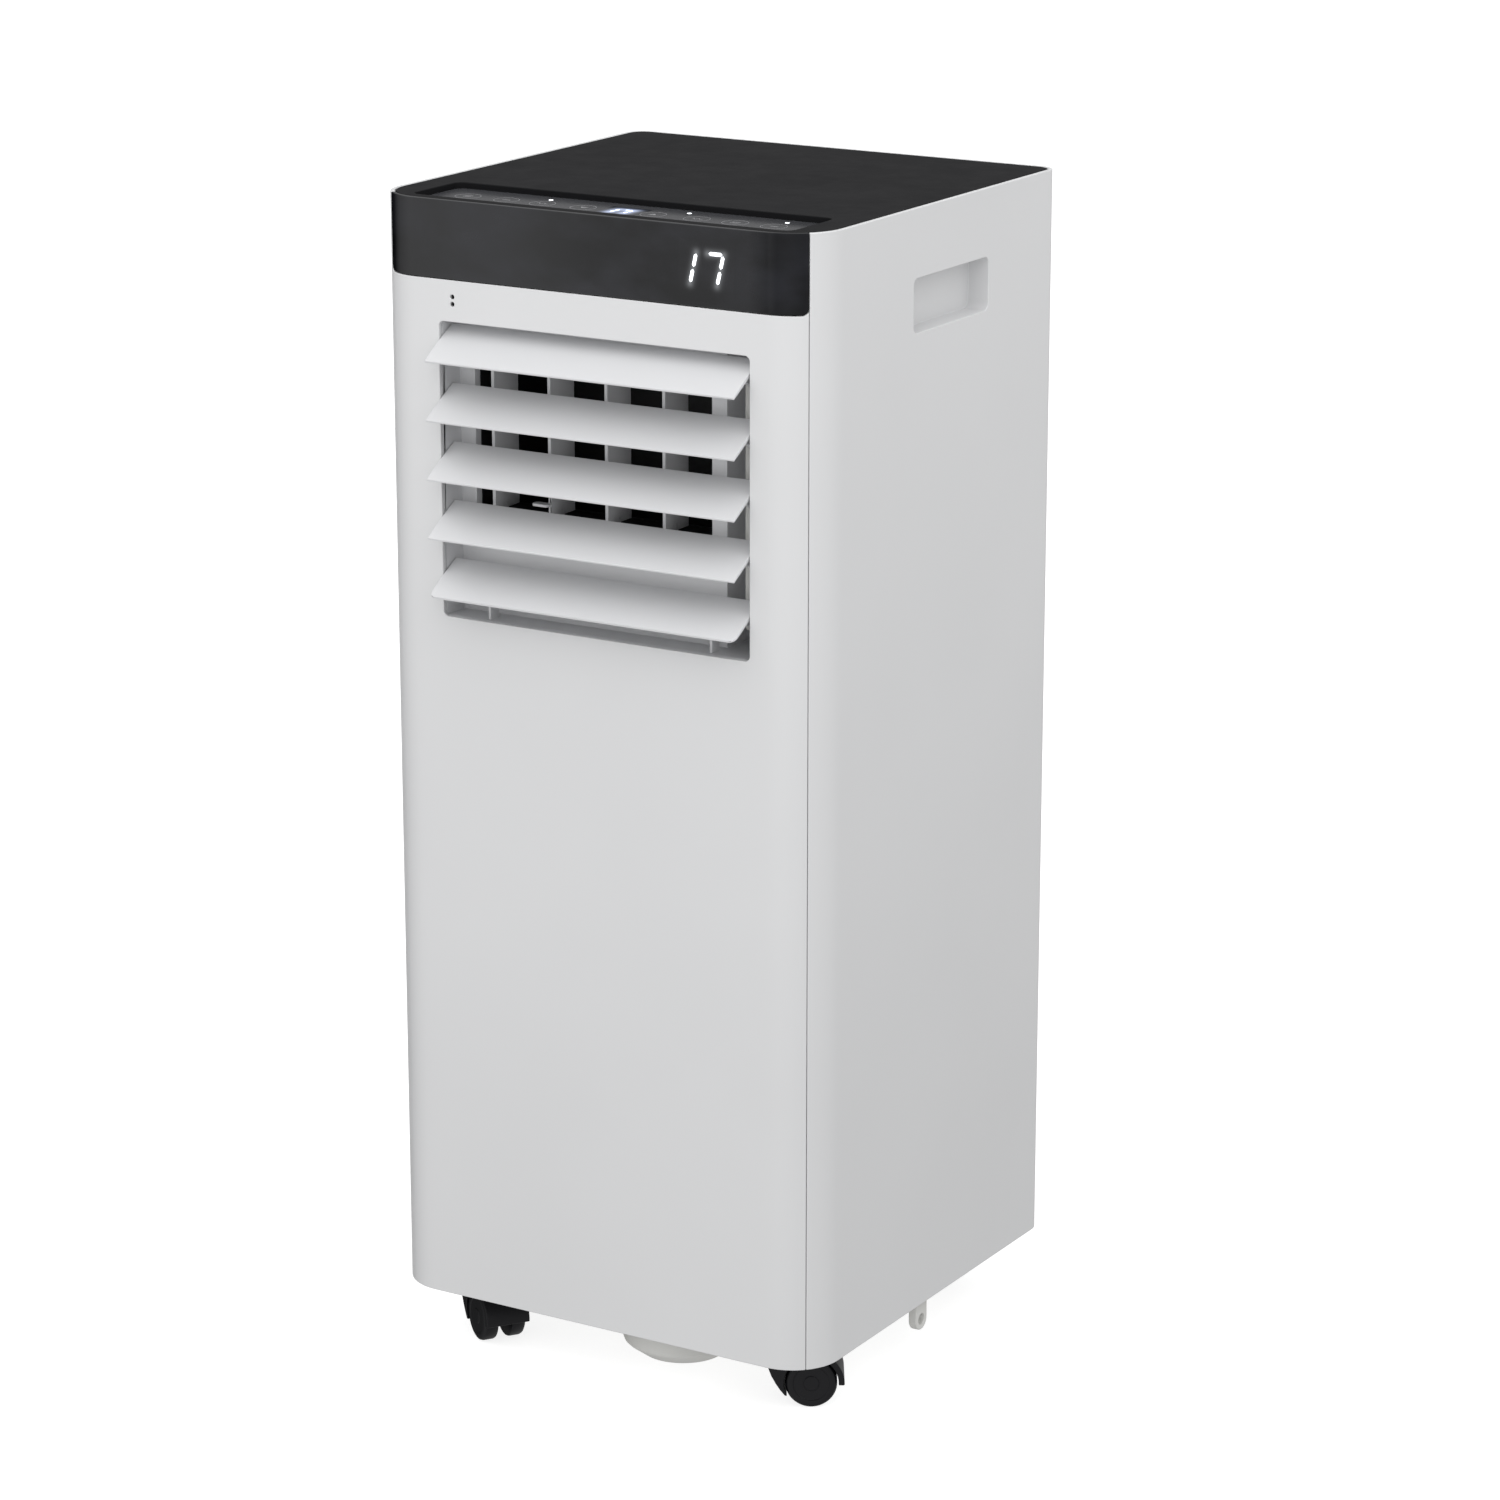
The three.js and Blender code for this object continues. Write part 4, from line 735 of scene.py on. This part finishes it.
def make_coil(node, side):
    """Heat exchanger: a stack of thin aluminium fins on copper tubes with return bends at one end."""
    low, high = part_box(node)
    bend_reach = 8.6 * MM
    x0 = low.x + (bend_reach if side < 0 else 0)
    x1 = high.x - (bend_reach if side > 0 else 0)
    fin, pitch = 0.25 * MM, 2 * MM
    work = bmesh.new()
    for index in range(int((x1 - x0) / pitch)):
        x = x0 + index * pitch
        bar_solid(work, (x, low.y, low.z), (x + fin, high.y, high.z))
    stack = linked(node + "_fins", mesh_of(node + "_fins", work))
    placed(stack, BODY_OF[node], "coil_aluminium", None, node)
    radius = 2.6 * MM
    rows = int((high.z - low.z) / (22 * MM))
    middle = (low.y + high.y) / 2
    start, end = (x0, x1) if side > 0 else (x1, x0)
    curve = bpy.data.curves.new(node + "_tubes", "CURVE")
    curve.dimensions = "3D"
    curve.bevel_depth = radius
    curve.bevel_resolution = 3
    curve.use_fill_caps = True
    step = (high.z - low.z) / rows
    for row in range(0, rows - 1, 2):
        z = low.z + step * (row + 0.5)
        points = [(start, middle, z), (end, middle, z)]
        for turn in range(1, 8):
            angle = math.pi * turn / 8
            points.append((end + side * (bend_reach - radius) * math.sin(angle), middle,
                           z + step * (1 - math.cos(angle)) / 2))
        points += [(end, middle, z + step), (start, middle, z + step)]
        spline = curve.splines.new("POLY")
        spline.points.add(len(points) - 1)
        for target, point in zip(spline.points, points):
            target.co = (*point, 1)
    tubes = linked(node + "_tubes", curve)
    placed(tubes, BODY_OF[node], "pipe_copper")


# ---------- studio ----------
LOBES = (                   # direction that the light comes from, where it starts and is full, and how bright
    ((-0.40, -0.85, 0.20), 0.15, 0.85, 0.58),
    ((0.85, -0.45, 0.25), 0.20, 0.95, 0.44),
    ((0.55, 0.80, -0.25), 0.45, 0.95, 0.40),
    ((0.00, 0.00, 1.00), 0.40, 0.80, 1.15),
    ((0.00, -0.35, -0.94), 0.00, 0.90, 0.28),
    ((-0.470, -0.862, -0.190), 0.9925, 0.9992, -0.30),
    ((-0.96, 0.10, -0.27), 0.60, 0.92, -0.26),
)
DIM_LIGHT = 0.26            # strength of the world where no lobe reaches
FLOOR_RADIUS = 80.0         # puts the floor's edge above the picture in views from a little above
FLOOR_GLOW = 0.82


def make_world():
    world = bpy.data.worlds.new("studio")
    bpy.context.scene.world = world
    world.use_nodes = True
    nodes, links = world.node_tree.nodes, world.node_tree.links
    direction = nodes.new("ShaderNodeTexCoord").outputs["Generated"]
    total = None
    for toward, start, full, bright in LOBES:
        facing = nodes.new("ShaderNodeVectorMath")
        facing.operation = "DOT_PRODUCT"
        facing.inputs[1].default_value = Vector(toward).normalized()
        links.new(direction, facing.inputs[0])
        spread = nodes.new("ShaderNodeMapRange")
        spread.interpolation_type = "SMOOTHSTEP"
        spread.inputs["From Min"].default_value = start
        spread.inputs["From Max"].default_value = full
        spread.inputs["To Min"].default_value = 0.0 if total else DIM_LIGHT
        spread.inputs["To Max"].default_value = bright if total else DIM_LIGHT + bright
        links.new(facing.outputs["Value"], spread.inputs["Value"])
        if total:
            adding = nodes.new("ShaderNodeMath")
            adding.operation = "ADD"
            links.new(total, adding.inputs[0])
            links.new(spread.outputs[0], adding.inputs[1])
            total = adding.outputs[0]
        else:
            total = spread.outputs[0]
    links.new(total, nodes["Background"].inputs["Strength"])
    nodes["Background"].inputs["Color"].default_value = (1, 1, 1, 1)


def make_floor():
    work = bmesh.new()
    bmesh.ops.create_circle(work, cap_ends=True, segments=96, radius=FLOOR_RADIUS)
    floor = linked("studio_floor", mesh_of("studio_floor", work))
    floor.visible_glossy = False
    floor.visible_diffuse = False
    finish = Finish("studio_floor", 0.9, specular=0.0)
    finish.color(finish.noise(2.0), (0.36, 0.36, 0.36), (0.40, 0.40, 0.40))
    finish.shader.inputs["Emission Color"].default_value = (1, 1, 1, 1)
    finish.shader.inputs["Emission Strength"].default_value = FLOOR_GLOW
    floor.data.materials.append(finish.material)


def make_light(name, location, aim, size, power):
    data = bpy.data.lights.new(name, "AREA")
    data.shape = "DISK"
    data.size = size
    data.energy = power
    light = bpy.data.objects.new(name, data)
    light.location = location
    light.rotation_mode = "QUATERNION"
    light.rotation_quaternion = (Vector(aim) - Vector(location)).to_track_quat("-Z", "Y")
    bpy.context.scene.collection.objects.link(light)


def make_camera():
    forward = Vector((-math.sin(CAMERA_AZIMUTH) * math.cos(CAMERA_DOWN),
                      math.cos(CAMERA_AZIMUTH) * math.cos(CAMERA_DOWN), -math.sin(CAMERA_DOWN)))
    aim = Vector((AIM_ASIDE * math.cos(CAMERA_AZIMUTH), AIM_ASIDE * math.sin(CAMERA_AZIMUTH), AIM_HEIGHT))
    data = bpy.data.cameras.new("product_camera")
    data.lens = CAMERA_LENS
    data.sensor_width = CAMERA_SENSOR
    camera = bpy.data.objects.new("product_camera", data)
    camera.location = aim - forward * CAMERA_DISTANCE
    camera.rotation_mode = "QUATERNION"
    camera.rotation_quaternion = forward.to_track_quat("-Z", "Y")
    bpy.context.scene.collection.objects.link(camera)
    bpy.context.scene.camera = camera


# ---------- building ----------
make_camera()
make_world()
make_floor()
make_light("key", (0.2, -2.4, 1.6), (0, 0, 0.4), 2.6, 4)
make_light("fill", (1.8, -0.8, 1.3), (0, 0, 0.4), 1.4, 4)
bpy.context.scene.view_settings.view_transform = "Standard"

make_cabinet()
make_well()
make_rear_screws()
make_display()
make_touch_keys()
make_outlet()
for caster in ("front_left", "front_right", "back_left", "back_right"):
    make_caster(caster)
make_collar()
make_filter()
make_coil("evaporator_coil", 1)
make_coil("condenser_coil", -1)
for shown in ("drain_plug", "cord_gland", "splash_wheel", "control_box", "drip_tray"):
    refine(shown, 0.3 * MM)

for cad_name, cad_piece in frame["nodes"].items():
    if not cad_piece.hide_render:
        cad_piece.data.materials.clear()
        cad_piece.data.materials.append(FINISHES[SLOT_OF[cad_name]])
